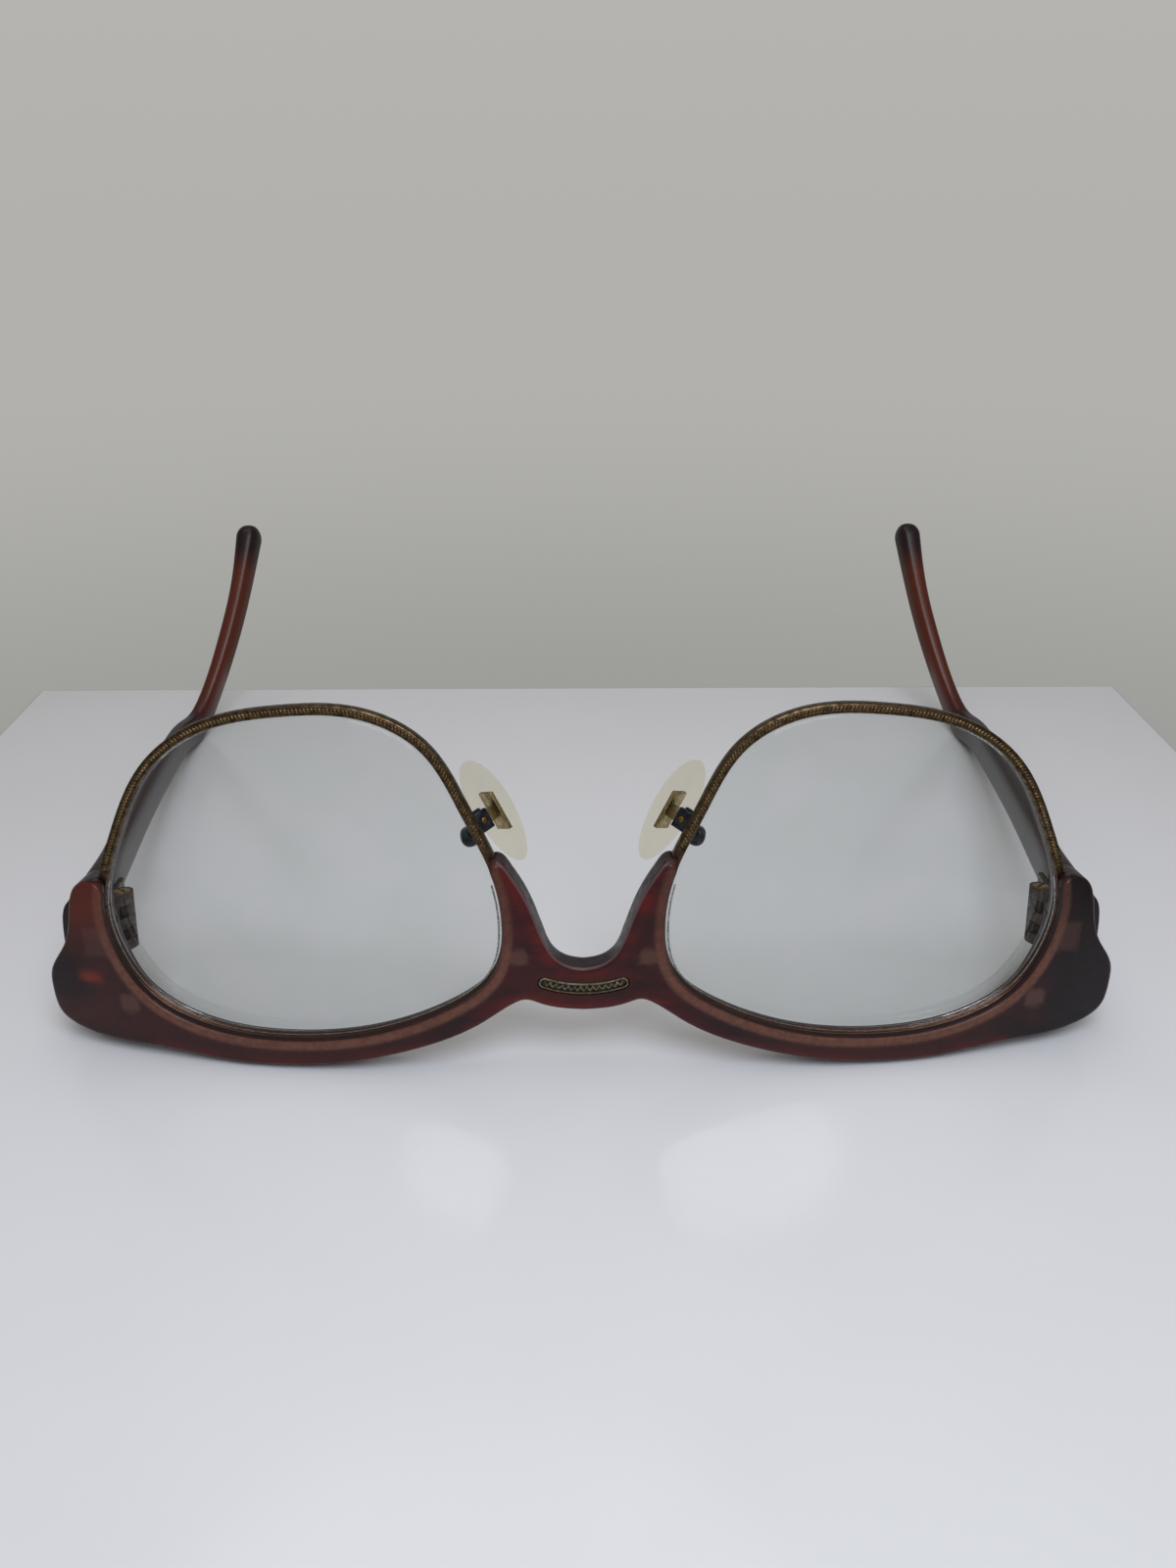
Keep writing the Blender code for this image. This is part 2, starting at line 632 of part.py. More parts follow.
def lug_pocket(size, temporal):
    frame, _ = lug_place(size, temporal)
    outline = patch(frame, RIM_WIDTH - BITE, RIM_WIDTH + SOLDER + size[0] + FIT,
                    -size[1] / 2 - FIT, size[1] / 2 + FIT)
    return slab([(outline, RIM_SETBACK - FIT + SHY), (outline, RIM_SETBACK + LUG_THICK + 2 * FIT + SHY)])


def lug_screw(size, temporal, clearance=0.0):
    """Screw through the back of the brow into the lug; with a clearance it is the hole for it."""
    _, screw = lug_place(size, temporal)
    rear = brow_thick(screw[0]) + (2 * PAST if clearance else -FIT)
    deep = HEAD_DEEP + (2 * PAST + FIT if clearance else 0.0)
    end = RIM_SETBACK + LUG_THICK / 2 - (FIT if clearance else 0.0)
    top, bottom = on_face(*screw, rear), on_face(*screw, end)
    return rod(top, bottom, LUG_SCREW + clearance, 14, (LUG_SCREW_HEAD + clearance, deep))


def slotted(screw, top, bottom):
    """A screw with a slot across the end where it is driven."""
    along = (Vector(bottom) - Vector(top)).normalized()
    side = along.orthogonal().normalized()
    slot = block(top, (side, along.cross(side), along), (3 * PAST, DRIVER_WIDE, 2 * DRIVER_DEEP))
    return combine(screw, [slot])


def brow_screw(size, temporal):
    _, screw = lug_place(size, temporal)
    top = on_face(*screw, brow_thick(screw[0]) - FIT)
    bottom = on_face(*screw, RIM_SETBACK + LUG_THICK / 2)
    return slotted(lug_screw(size, temporal), top, bottom)


def lock_frame():
    return eye_frame(EYE_FINE[0][1], True)


def lock_half(side):
    """One half of the rim lock, on its own side of the split."""
    start, end = sorted((side * RIM_GAP / 2, side * (RIM_GAP / 2 + LOCK_LONG)))
    outline = patch(lock_frame(), RIM_WIDTH + SOLDER, RIM_WIDTH + SOLDER + LOCK_WIDE, start, end)
    shape = slab([(outline, RIM_SETBACK), (outline, RIM_SETBACK + LOCK_DEEP)])
    top, bottom = lock_axis(LOCK_LONG * 2)
    return combine(shape, [rod(top, bottom, LOCK_SCREW + SOLDER, 12)])


def lock_axis(reach):
    """Ends of the rim lock's screw line, this far each way from the split."""
    place, out, along = lock_frame()
    middle = place + out * (RIM_WIDTH + SOLDER + LOCK_WIDE / 2)
    depth = RIM_SETBACK + LOCK_DEEP / 2
    return [on_face(*(middle + along * run), depth) for run in (-reach, reach)]


def lock_screw():
    top, bottom = lock_axis(RIM_GAP / 2 + LOCK_LONG - SOLDER)
    return rod(top, bottom, LOCK_SCREW, 12)


def lock_pocket():
    reach = RIM_GAP / 2 + LOCK_LONG + 1.5 * FIT
    far = RIM_WIDTH + SOLDER + LOCK_WIDE + 1.5 * FIT
    outline = patch(lock_frame(), RIM_WIDTH - BITE, far, -reach, reach)
    return slab([(outline, RIM_SETBACK - FIT + SHY), (outline, END_THICK + 2 * PAST)])


def inlay_outline(grow):
    """Curved bar with round ends, as (x, v)."""
    half = INLAY_LONG / 2 - INLAY_WIDE / 2
    reach = math.asin(half / INLAY_RADIUS)
    centre = (0.0, INLAY_HEIGHT + INLAY_RADIUS)
    outer, inner = (INLAY_RADIUS + s * (INLAY_WIDE / 2 + grow) for s in (1, -1))

    def arc(radius, start, end, count, hub=centre):
        turns = [start + (end - start) * i / (count - 1) for i in range(count)]
        return [(hub[0] + radius * math.sin(a), hub[1] - radius * math.cos(a)) for a in turns]

    def end(angle, start):
        hub = arc(INLAY_RADIUS, angle, angle, 2)[0]
        return arc(INLAY_WIDE / 2 + grow, start, start + math.pi, 8, hub)[1:-1]

    return (arc(outer, -reach, reach, 15) + end(reach, reach)
            + arc(inner, reach, -reach, 15) + end(-reach, math.pi - reach))


def inlay():
    outline = inlay_outline(-FIT / 2)
    top = offset_loop(outline, -0.12 * MM)
    return slab([(top, 0.02 * MM), (outline, 0.14 * MM), (outline, INLAY_THICK)])


def plate_outline(grow):
    """Rounded hinge plate set into the back of the endpiece."""
    left, right = EYE_OUT - 0.1 * MM - grow, EYE_OUT - 0.1 * MM + PLATE_WIDE + grow
    low, high = HINGE_HEIGHT - PLATE_HIGH / 2 - grow, HINGE_HEIGHT + PLATE_HIGH / 2 + grow
    cut = PLATE_CORNER
    return [(left + cut, low), (right - cut, low), (right, low + cut), (right, high - cut),
            (right - cut, high), (left + cut, high), (left, high - cut), (left, low + cut)]


def rivet_places():
    """(x, v) of the two rivets in the hinge plate."""
    return [(EYE_OUT + PLATE_WIDE * 0.72, HINGE_HEIGHT + s * PLATE_HIGH * 0.27) for s in (-1, 1)]


def plate_rear(x):
    return brow_thick(x) - FIT


def plate_front(x):
    return brow_thick(x) - PLATE_THICK - FIT


def brow():
    cutters = []
    right = [
        rim_channel(), lug_pocket(NASAL_LUG, False), lug_pocket(TEMPORAL_LUG, True), lock_pocket(),
        lug_screw(NASAL_LUG, False, FIT), lug_screw(TEMPORAL_LUG, True, FIT),
        slab([(plate_outline(FIT), lambda x: plate_front(x) - FIT),
              (plate_outline(FIT), END_THICK + 2 * PAST)]),
    ]
    for place in rivet_places():
        rear = brow_thick(place[0])
        bottom = rear - PLATE_THICK - RIVET_DEEP - 2 * FIT
        right.append(rod(on_face(*place, rear), on_face(*place, bottom), RIVET_RADIUS + FIT, 12))
    for shape in right:
        cutters += [shape, mirrored(shape)]
    recess = inlay_outline(FIT / 2)
    cutters.append(slab([(recess, -PAST), (recess, INLAY_THICK + FIT)]))
    return combine(brow_shape(), cutters)


# ---------------------------------------------------------------- hinge

def knuckle_span(index):
    """Lowest and highest height of a knuckle, counted from the brow's lower edge upwards."""
    stack = KNUCKLES * KNUCKLE_HIGH + (KNUCKLES - 1) * KNUCKLE_GAP
    low = HINGE_HEIGHT - stack / 2 + index * (KNUCKLE_HIGH + KNUCKLE_GAP)
    return low, low + KNUCKLE_HIGH


def eye_arc(start, end):
    """Outside of a knuckle between two angles in degrees, as (x, n)."""
    turns = [math.radians(start + (end - start) * i / 12) for i in range(13)]
    return [(PIN_X + KNUCKLE_RADIUS * math.cos(a), PIN_BACK + KNUCKLE_RADIUS * math.sin(a)) for a in turns]


def pin_hole():
    low, high = knuckle_span(0)[0] - PAST, knuckle_span(KNUCKLES - 1)[1] + PAST
    return rod(lean(PIN_X, PIN_BACK, low), lean(PIN_X, PIN_BACK, high), PIN_RADIUS + FIT / 2, 16)


def front_hinge():
    """Plate in the brow with the outer knuckles, which stand back from it on short arms."""
    plate = slab([(plate_outline(0.0), plate_front), (plate_outline(0.0), plate_rear)])
    inner, outer = EYE_OUT + ARM_IN, EYE_OUT + ARM_OUT
    low, high = knuckle_span(0)[0], knuckle_span(KNUCKLES - 1)[1]
    neck_low, neck_high = (HINGE_HEIGHT + s * (PLATE_HIGH - PLATE_CORNER) / 2 for s in (-1, 1))
    neck = [(inner, neck_low), (outer, neck_low), (outer, neck_high), (inner, neck_high)]
    bar = [(inner, low), (outer, low), (outer, high), (inner, high)]

    def behind(extra):
        return lambda x: brow_thick(x) + extra

    root = slab([(neck, behind(-PLATE_THICK / 2)), (neck, behind(BEAM_THICK / 2))])
    beam = slab([(bar, behind(1.5 * FIT)), (bar, behind(1.5 * FIT + BEAM_THICK))])
    sides = inner + SOLDER, PIN_X + KNUCKLE_RADIUS - SHY
    mid_beam = behind(1.5 * FIT + BEAM_THICK / 2)
    profile = eye_arc(0, 190) + [(x, face_depth(x, HINGE_HEIGHT) + mid_beam(x)) for x in sides]
    spans = [knuckle_span(i) for i in range(0, KNUCKLES, 2)]
    arms = [prism(profile, bottom + SHY, top - SHY) for bottom, top in spans]
    welded = combine(plate, [root, beam] + arms, "UNION")
    holes = [rod(on_face(*p, plate_front(p[0]) - PAST), on_face(*p, plate_rear(p[0]) + PAST),
                 RIVET_RADIUS + FIT / 2, 12) for p in rivet_places()]
    seat = high - PIN_HEAD_DEEP - FIT / 2
    head = rod(lean(PIN_X, PIN_BACK, high + PAST), lean(PIN_X, PIN_BACK, seat), PIN_HEAD + FIT / 2, 16)
    return combine(welded, holes + [pin_hole(), head])


def front_rivet(index):
    place = rivet_places()[index]
    rear = plate_rear(place[0]) - SHY
    return rod(on_face(*place, rear), on_face(*place, rear - PLATE_THICK - RIVET_DEEP), RIVET_RADIUS, 12)


def hinge_screw():
    top, low = knuckle_span(KNUCKLES - 1)[1] - SHY, knuckle_span(0)[0] + FIT
    start, end = lean(PIN_X, PIN_BACK, top), lean(PIN_X, PIN_BACK, low)
    screw = rod(start, end, PIN_RADIUS, 16, (PIN_HEAD, PIN_HEAD_DEEP))
    return slotted(screw, start, end)


def temple_hinge():
    """Leaf on the temple's inner face, with the knuckles between the front's ones."""
    start = PIN_BACK - LEAF_AHEAD
    end = start + LEAF_LONG
    near, far = (inner_face(n) - LEAF_GAP for n in (start, end))
    cut = LEAF_THICK / 2
    profile = [(near, start), (far, end), (far - cut, end), (far - LEAF_THICK, end - cut),
               (near - LEAF_THICK, start)]
    leaf = prism(profile, HINGE_HEIGHT - LEAF_HIGH / 2, HINGE_HEIGHT + LEAF_HIGH / 2)
    inside = inner_face(PIN_BACK) - LEAF_GAP - LEAF_THICK / 2
    tongue = eye_arc(100, 325) + [(inside, PIN_BACK - LEAF_AHEAD), (inside, PIN_BACK + 4 * LEAF_AHEAD)]
    arms = [prism(tongue, *knuckle_span(i)) for i in range(1, KNUCKLES, 2)]
    welded = combine(leaf, arms, "UNION")
    holes = [rod(*ends, RIVET_RADIUS + FIT / 2, 12) for ends in temple_rivet_ends(PAST)]
    return combine(welded, holes + [pin_hole()])


def temple_rivet_ends(extra=0.0):
    """Ends of the two rivets through the leaf, drawn longer each way by the extra."""
    ends = []
    for share in (0.5, 0.84):
        n = PIN_BACK - LEAF_AHEAD + LEAF_LONG * share
        x = inner_face(n)
        head = LEAF_GAP + LEAF_THICK - SHY
        ends.append((lean(x - head - extra, n, HINGE_HEIGHT), lean(x + RIVET_DEEP + extra, n, HINGE_HEIGHT)))
    return ends


# ---------------------------------------------------------------- temples

def inner_face(n):
    """x of the temple's inner face, this far behind the front plane, beside the hinge."""
    butt = EYE_OUT + END_REACH - 0.15 * MM - BUTT_THICK
    return butt + 0.11 * max(n - 9 * MM, 0.0)


def side_stations(settle):
    """Middle line and section of a temple: (x, y, z, thickness, height), from the butt to the tip."""
    butt = inner_face(0) + BUTT_THICK / 2
    reach = TEMPLE_REACH
    rest = TEMPLE_HIGH / 2
    run, rise = TIP_LONG * math.cos(TIP_RISE), TIP_LONG * math.sin(TIP_RISE)
    hinge_z = HINGE_HEIGHT * math.cos(LEAN) - PIN_BACK * math.sin(LEAN)
    bend_z = FLOOR + rest + settle

    def down(share):
        return hinge_z + (bend_z - hinge_z) * share

    return [
        (butt, 8.0 * MM, hinge_z - 2.3 * MM, BUTT_THICK, BUTT_HIGH),
        (butt, 12.0 * MM, hinge_z - 2.0 * MM, BUTT_THICK, BUTT_HIGH * 0.97),
        (butt - 0.05 * MM, 17.0 * MM, hinge_z - 0.7 * MM, BUTT_THICK * 0.78, BUTT_HIGH * 0.8),
        (butt + 0.3 * MM, 23.0 * MM, hinge_z - 0.2 * MM, TEMPLE_THICK * 1.12, TEMPLE_HIGH * 1.13),
        (butt + 1.8 * MM, 32.0 * MM, down(0.135), TEMPLE_THICK * 1.03, TEMPLE_HIGH * 1.04),
        (butt + 4.3 * MM, reach * 0.46, down(0.33), TEMPLE_THICK, TEMPLE_HIGH),
        (butt + 6.9 * MM, reach * 0.64, down(0.54), TEMPLE_THICK, TEMPLE_HIGH),
        (butt + 9.0 * MM, reach * 0.80, down(0.745), TEMPLE_THICK, TEMPLE_HIGH * 0.97),
        (butt + 10.1 * MM, reach * 0.93, down(0.925), TEMPLE_THICK * 1.02, TEMPLE_HIGH * 0.95),
        (butt + 9.7 * MM, reach, bend_z + 0.2 * MM, TEMPLE_THICK * 1.05, TEMPLE_HIGH * 0.93),
        (butt + 8.2 * MM, reach + run * 0.19, bend_z + rise * 0.12, TIP_THICK * 0.95, TIP_HIGH),
        (butt + 5.4 * MM, reach + run * 0.45, bend_z + rise * 0.40, TIP_THICK, TIP_HIGH),
        (butt + 3.2 * MM, reach + run * 0.74, bend_z + rise * 0.71, TIP_THICK * 1.05, TIP_HIGH * 1.05),
        (butt + 2.0 * MM, reach + run, bend_z + rise, TIP_THICK * 1.34, TIP_HIGH * 1.12),
    ]


def section(place, ahead, thick, high, count, power=2.9):
    """Rounded oblong section across a path: its thickness lies along X, its height squarely to the path."""
    ahead = Vector((0.0, ahead[1], ahead[2])).normalized()
    up = Vector((0.0, -ahead[2], ahead[1]))
    ring = []
    for i in range(count):
        a = 2 * math.pi * (i + 0.5) / count
        c, s = math.cos(a), math.sin(a)
        x = math.copysign(abs(c) ** (2 / power), c) * thick / 2
        u = math.copysign(abs(s) ** (2 / power), s) * high / 2
        ring.append(place + Vector((x, 0, 0)) + up * u)
    return ring


def temple_path(count, settle=None):
    stations = natural_spline(side_stations(SETTLE if settle is None else settle), count)
    places = [Vector(row[:3]) for row in stations]
    ways = [(places[min(i + 1, count - 1)] - places[max(i - 1, 0)]) for i in range(count)]
    return places, ways, stations[:, 3], stations[:, 4]


def temple_rings(settle=None):
    places, ways, thick, high = temple_path(TEMPLE_STEPS, settle)
    return [section(p, w, t, h, 16) for p, w, t, h in zip(places, ways, thick, high)]


def temple():
    """Plastic temple and ear tip, bored for its core, with its end cut to the brow's back."""
    places, ways, thick, high = temple_path(TEMPLE_STEPS)
    outer = temple_rings()
    tip, way = places[-1], ways[-1].normalized()
    for run, share in ((0.55, 0.86), (0.9, 0.5)):
        end = tip + way * (TIP_HIGH * 0.5 * run)
        outer.append(section(end, way, thick[-1] * share, high[-1] * share, 16, 2.3))
    last = core_last()
    bore = [section(p, w, CORE_THICK + 2 * FIT, CORE_WIDE + 2 * FIT, 8, 6)
            for p, w in zip(places[:last + 1], ways[:last + 1])]
    bm = bmesh.new()
    outside = [[bm.verts.new(p) for p in ring] for ring in outer]
    inside = [[bm.verts.new(p) for p in ring] for ring in bore]
    for rows in (outside, inside):
        for low, high_row in zip(rows, rows[1:]):
            for i in range(len(low)):
                j = (i + 1) % len(low)
                bm.faces.new((low[i], low[j], high_row[j], high_row[i]))
        bm.faces.new(rows[-1])
    for i in range(16):
        j = (i + 1) % 16
        a, b = inside[0][i // 2], inside[0][(j // 2) % 8]
        corners = [outside[0][i], outside[0][j], b] if a is b else [outside[0][i], outside[0][j], b, a]
        bm.faces.new(corners)
    shape = face_out(bm)
    near, far = EYE_OUT + 1.5 * MM, EYE_OUT + END_REACH + 2 * MM
    heights = [HINGE_HEIGHT + BUTT_HIGH * (0.375 * i - 1.5) for i in range(9)]
    region = [(near, v) for v in heights] + [(far, v) for v in reversed(heights)]
    mitre = slab([(region, -2 * BUTT_HIGH), (region, lambda x: brow_thick(x) + BUTT_GAP)])
    holes = [rod(*ends, RIVET_RADIUS + FIT, 12) for ends in temple_rivet_ends(FIT)]
    return combine(shape, [mitre] + holes)


def core_last():
    return int(TEMPLE_STEPS * 0.9)


def temple_core():
    """Flat reinforcing wire down the middle of the temple."""
    places, ways, _, _ = temple_path(TEMPLE_STEPS)
    last = core_last()
    start = 4
    rings = [section(p, w, CORE_THICK, CORE_WIDE, 8, 6)
             for p, w in zip(places[start:last], ways[start:last])]
    return skin(rings)


def temple_rivet(index):
    return rod(*temple_rivet_ends()[index], RIVET_RADIUS, 12)


# ---------------------------------------------------------------- nose pads

def pad_frame():
    """Centre of a pad, and its directions: out towards the eyewire, across, and along."""
    along = lean(math.sin(PAD_TILT), 0.0, math.cos(PAD_TILT))
    plan = lean(math.cos(PAD_SPLAY), -math.sin(PAD_SPLAY), 0.0)
    out = (plan - along * plan.dot(along)).normalized()
    across = along.cross(out).normalized()
    centre = on_face(PAD_OUT, PAD_HEIGHT, PAD_BACK)
    return centre, out, across, along


def oval(frame, lift, long, wide, count):
    """Egg-shaped ring, wider towards the top, this far out from the pad's middle."""
    centre, out, across, along = frame
    ring = []
    for i in range(count):
        a = 2 * math.pi * i / count
        taper = 1 + 0.12 * math.sin(a)
        side = across * math.cos(a) * wide / 2 * taper
        ring.append(centre + out * lift + side + along * math.sin(a) * long / 2)
    return ring


def nose_pad():
    """Soft oval pad, crowned towards the nose and slotted behind for its core."""
    frame = pad_frame()
    half = PAD_THICK / 2
    profile = [(1.0, 0.62), (0.82, 0.88), (0.15, 1.0), (-0.45, 0.9), (-0.85, 0.62), (-1.0, 0.28)]
    rings = [oval(frame, half * lift, PAD_LONG * share, PAD_WIDE * share, 24) for lift, share in profile]
    shape = skin(rings)
    centre, out, across, along = frame
    long, wide, thick = PAD_CORE
    slot = block(centre, (out, across, along), (thick + 2 * FIT, wide + 2 * FIT, long + 2 * FIT))
    neck_size = (PAD_THICK, TAB_THICK + 6 * FIT, TAB_LONG + 5 * FIT)
    neck = block(centre + out * half, (out, across, along), neck_size)
    return combine(shape, [combine(slot, [neck], "UNION")])


def pivot_place():
    """Middle of the pad's screw, and its direction."""
    centre, out, across, along = pad_frame()
    return centre + out * (PAD_THICK / 2 + BOX_SIZE[0] * 0.62), across


def pad_core():
    """Metal plate moulded into the pad, with the tab that the screw goes through."""
    centre, out, across, along = pad_frame()
    long, wide, thick = PAD_CORE
    plate = block(centre, (out, across, along), (thick, wide, long))
    pivot, axis = pivot_place()
    reach = (pivot - centre).dot(out) + TAB_PAST
    tab = block(centre + out * reach / 2, (out, across, along), (reach, TAB_THICK, TAB_LONG))
    hole = rod(pivot - axis * PAST, pivot + axis * PAST, PAD_SCREW + FIT / 2, 12)
    return combine(combine(plate, [tab], "UNION"), [hole])


def pad_box():
    """Cup at the end of the arm, open towards the pad, that the tab rocks in."""
    centre, out, across, along = pad_frame()
    deep, wide, long = BOX_SIZE
    pivot, axis = pivot_place()
    middle = centre + out * (PAD_THICK / 2 + BOX_GAP + deep / 2)
    cup = block(middle, (out, across, along), BOX_SIZE)
    room_size = (deep + SOLDER, TAB_THICK + 2 * FIT, long + PAST)
    room = block(middle - out * TAB_PAST, (out, across, along), room_size)
    hole = rod(pivot - axis * wide, pivot + axis * wide, PAD_SCREW + FIT / 2, 12)
    return combine(cup, [room, hole])


def pad_screw():
    pivot, axis = pivot_place()
    wide = BOX_SIZE[1]
    start = pivot + axis * (wide / 2 + PAD_SCREW_HEAD[1] + SOLDER)
    end = pivot - axis * (wide / 2 - SOLDER)
    return slotted(rod(start, end, PAD_SCREW, 12, PAD_SCREW_HEAD), start, end)


def pad_arm():
    """Wire from the back of the eyewire, round in a loop, to the back of the box."""
    foot, outward, _ = eye_frame(PAD_ARM_FOOT, False)
    x, v = foot + outward * RIM_WIDTH / 2
    centre, out, _, _ = pad_frame()
    box_back = centre + out * (PAD_THICK / 2 + BOX_GAP + BOX_SIZE[0] + 2 * SOLDER)
    start = on_face(x, v, RIM_REAR + 3 * SOLDER)
    route = [
        start, on_face(x + 0.35 * MM, v - 0.1 * MM, RIM_REAR + 0.9 * MM),
        on_face(x + 1.3 * MM, v - 0.3 * MM, RIM_REAR + 1.9 * MM),
        on_face(x + 2.2 * MM, v, RIM_REAR + 3.0 * MM),
        box_back + out * 1.1 * MM,
        box_back + out * SOLDER,
    ]
    return tube(natural_spline(route, 16), ARM_RADIUS)


# ---------------------------------------------------------------- assembly

def lowest_of_brow():
    outline, _ = brow_loops()
    places = [on_face(x, v, brow_thick(x) - REAR_ROUND) for x, v in outline]
    return min(place.z for place in places)


FLOOR = lowest_of_brow()
SETTLE = FLOOR - min(point.z for ring in temple_rings(0.0) for point in ring)


def main():
    for old in list(bpy.data.objects):
        bpy.data.objects.remove(old)

    front = add_pivot("eyeglasses", Vector((0, 0, 0)), (0, 0, 1))
    pin = lean(PIN_X, PIN_BACK, HINGE_HEIGHT)
    rock, rock_axis = pivot_place()
    flip = Vector((-1, 1, 1))
    temples = [add_pivot("left_temple_fold", pin * flip, LEAN_UP, front),
               add_pivot("right_temple_fold", pin, LEAN_UP, front)]
    pads = [add_pivot("left_pad_rock", rock * flip, rock_axis * flip, front),
            add_pivot("right_pad_rock", rock, rock_axis, front)]
    both = [front, front]

    add_piece("brow_front", brow(), "brow_plastic", front)
    add_piece("bridge_inlay", inlay(), "antique_metal", front)
    add_pair("eyewire", eyewire, "antique_metal", both)
    add_pair("lens", lens, "lens_clear", both)
    add_pair("rim_lock_upper", lambda: lock_half(1), "antique_metal", both)
    add_pair("rim_lock_lower", lambda: lock_half(-1), "antique_metal", both)
    add_pair("rim_lock_screw", lock_screw, "screw_gold", both)
    add_pair("nasal_lug", lambda: lug(NASAL_LUG, False), "antique_metal", both)
    add_pair("temporal_lug", lambda: lug(TEMPORAL_LUG, True), "antique_metal", both)
    add_pair("nasal_screw", lambda: brow_screw(NASAL_LUG, False), "screw_gold", both)
    add_pair("temporal_screw", lambda: brow_screw(TEMPORAL_LUG, True), "screw_gold", both)
    add_pair("front_hinge", front_hinge, "hinge_steel", both)
    add_pair("front_rivet_low", lambda: front_rivet(0), "hinge_steel", both)
    add_pair("front_rivet_high", lambda: front_rivet(1), "hinge_steel", both)
    add_pair("hinge_screw", hinge_screw, "screw_gold", both)
    add_pair("temple_hinge", temple_hinge, "hinge_steel", temples)
    add_pair("temple_rivet_front", lambda: temple_rivet(0), "hinge_steel", temples)
    add_pair("temple_rivet_rear", lambda: temple_rivet(1), "hinge_steel", temples)
    add_pair("temple", temple, "temple_plastic", temples)
    add_pair("temple_core", temple_core, "dark_metal", temples)
    add_pair("pad_arm", pad_arm, "dark_metal", both)
    add_pair("pad_box", pad_box, "dark_metal", both)
    add_pair("pad_screw", pad_screw, "screw_gold", both)
    add_pair("pad_core", pad_core, "antique_metal", pads)
    add_pair("nose_pad", nose_pad, "pad_clear", pads)

    stand(front)


def stand(root):
    """Move everything so that it rests on z = 0 with its box centred on the origin."""
    bpy.context.view_layer.update()
    places = [piece.matrix_world @ corner.co for piece in bpy.data.objects if piece.type == "MESH"
              for corner in piece.data.vertices]
    low = [min(p[k] for p in places) for k in range(3)]
    high = [max(p[k] for p in places) for k in range(3)]
    root.location = (-(low[0] + high[0]) / 2, -(low[1] + high[1]) / 2, -low[2])
    bpy.context.view_layer.update()


main()
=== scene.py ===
import math
import bmesh
import bpy
import numpy as np
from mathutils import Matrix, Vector
from mathutils.geometry import delaunay_2d_cdt


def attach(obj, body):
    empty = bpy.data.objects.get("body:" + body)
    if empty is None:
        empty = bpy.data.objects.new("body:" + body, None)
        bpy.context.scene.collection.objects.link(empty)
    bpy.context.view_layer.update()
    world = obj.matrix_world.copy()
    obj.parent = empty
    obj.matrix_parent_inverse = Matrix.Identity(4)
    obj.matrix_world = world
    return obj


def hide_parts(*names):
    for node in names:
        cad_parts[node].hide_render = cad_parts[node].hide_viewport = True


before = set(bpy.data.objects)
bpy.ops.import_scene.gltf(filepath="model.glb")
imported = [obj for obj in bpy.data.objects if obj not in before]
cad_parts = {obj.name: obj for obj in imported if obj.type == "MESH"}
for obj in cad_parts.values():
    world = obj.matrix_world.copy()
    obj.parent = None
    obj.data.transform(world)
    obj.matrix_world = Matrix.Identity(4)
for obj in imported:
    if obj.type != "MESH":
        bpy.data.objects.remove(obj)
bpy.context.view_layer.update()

# All lengths below are millimetres. The glasses stand upside down, front towards -Y, as the CAD does.
mm = 0.001
leanAngle = math.radians(11)
# The CAD moves its own front frame by this much when it stands the model on the floor.
stood = np.array([0.0, -65.4201, 1.4424])

# The front face and the lens opening, whose middle and shape (in half widths and heights) follow.
face = {"radius": 131.0, "wrap": math.radians(4.5), "wrapStart": 12.0, "bowlForward": 2.0,
        "thick": 4.1, "endThick": 5.2}
eye = {"width": 49.6, "height": 41.7, "inner": 10.1, "outer": 59.7, "low": 3.15}
eyeMiddle = (34.9, 24.0)
eyeShape = [(1.000, -0.198), (0.964, -0.440), (0.810, -0.748), (0.540, -0.929), (0.125, -0.998),
            (-0.319, -0.948), (-0.714, -0.781), (-0.948, -0.560), (-1.000, -0.245), (-0.940, 0.112),
            (-0.819, 0.417), (-0.625, 0.802), (-0.335, 0.983), (0.044, 0.995), (0.448, 0.890),
            (0.714, 0.655), (0.899, 0.240)]


# Curves and the front's own frame: x across, v up the leaned face, depth behind the face

# Distance along a polyline at each of its points.
def runOf(points):
    return np.concatenate([[0.0], np.cumsum(np.linalg.norm(np.diff(points, axis=0), axis=1))])


def unit(way):
    return way / np.linalg.norm(way, axis=-1, keepdims=True)


# Cubic through the points p at t, whose second derivatives there are m.
def splineAt(u, t, p, m):
    i = np.clip(np.searchsorted(t, u, side="right") - 1, 0, len(t) - 2)
    h = (t[i + 1] - t[i])[:, None]
    lo, hi = (t[i + 1] - u)[:, None], (u - t[i])[:, None]
    return ((m[i] * lo ** 3 + m[i + 1] * hi ** 3) / (6 * h)
            + (p[i] / h - m[i] * h / 6) * lo + (p[i + 1] / h - m[i + 1] * h / 6) * hi)


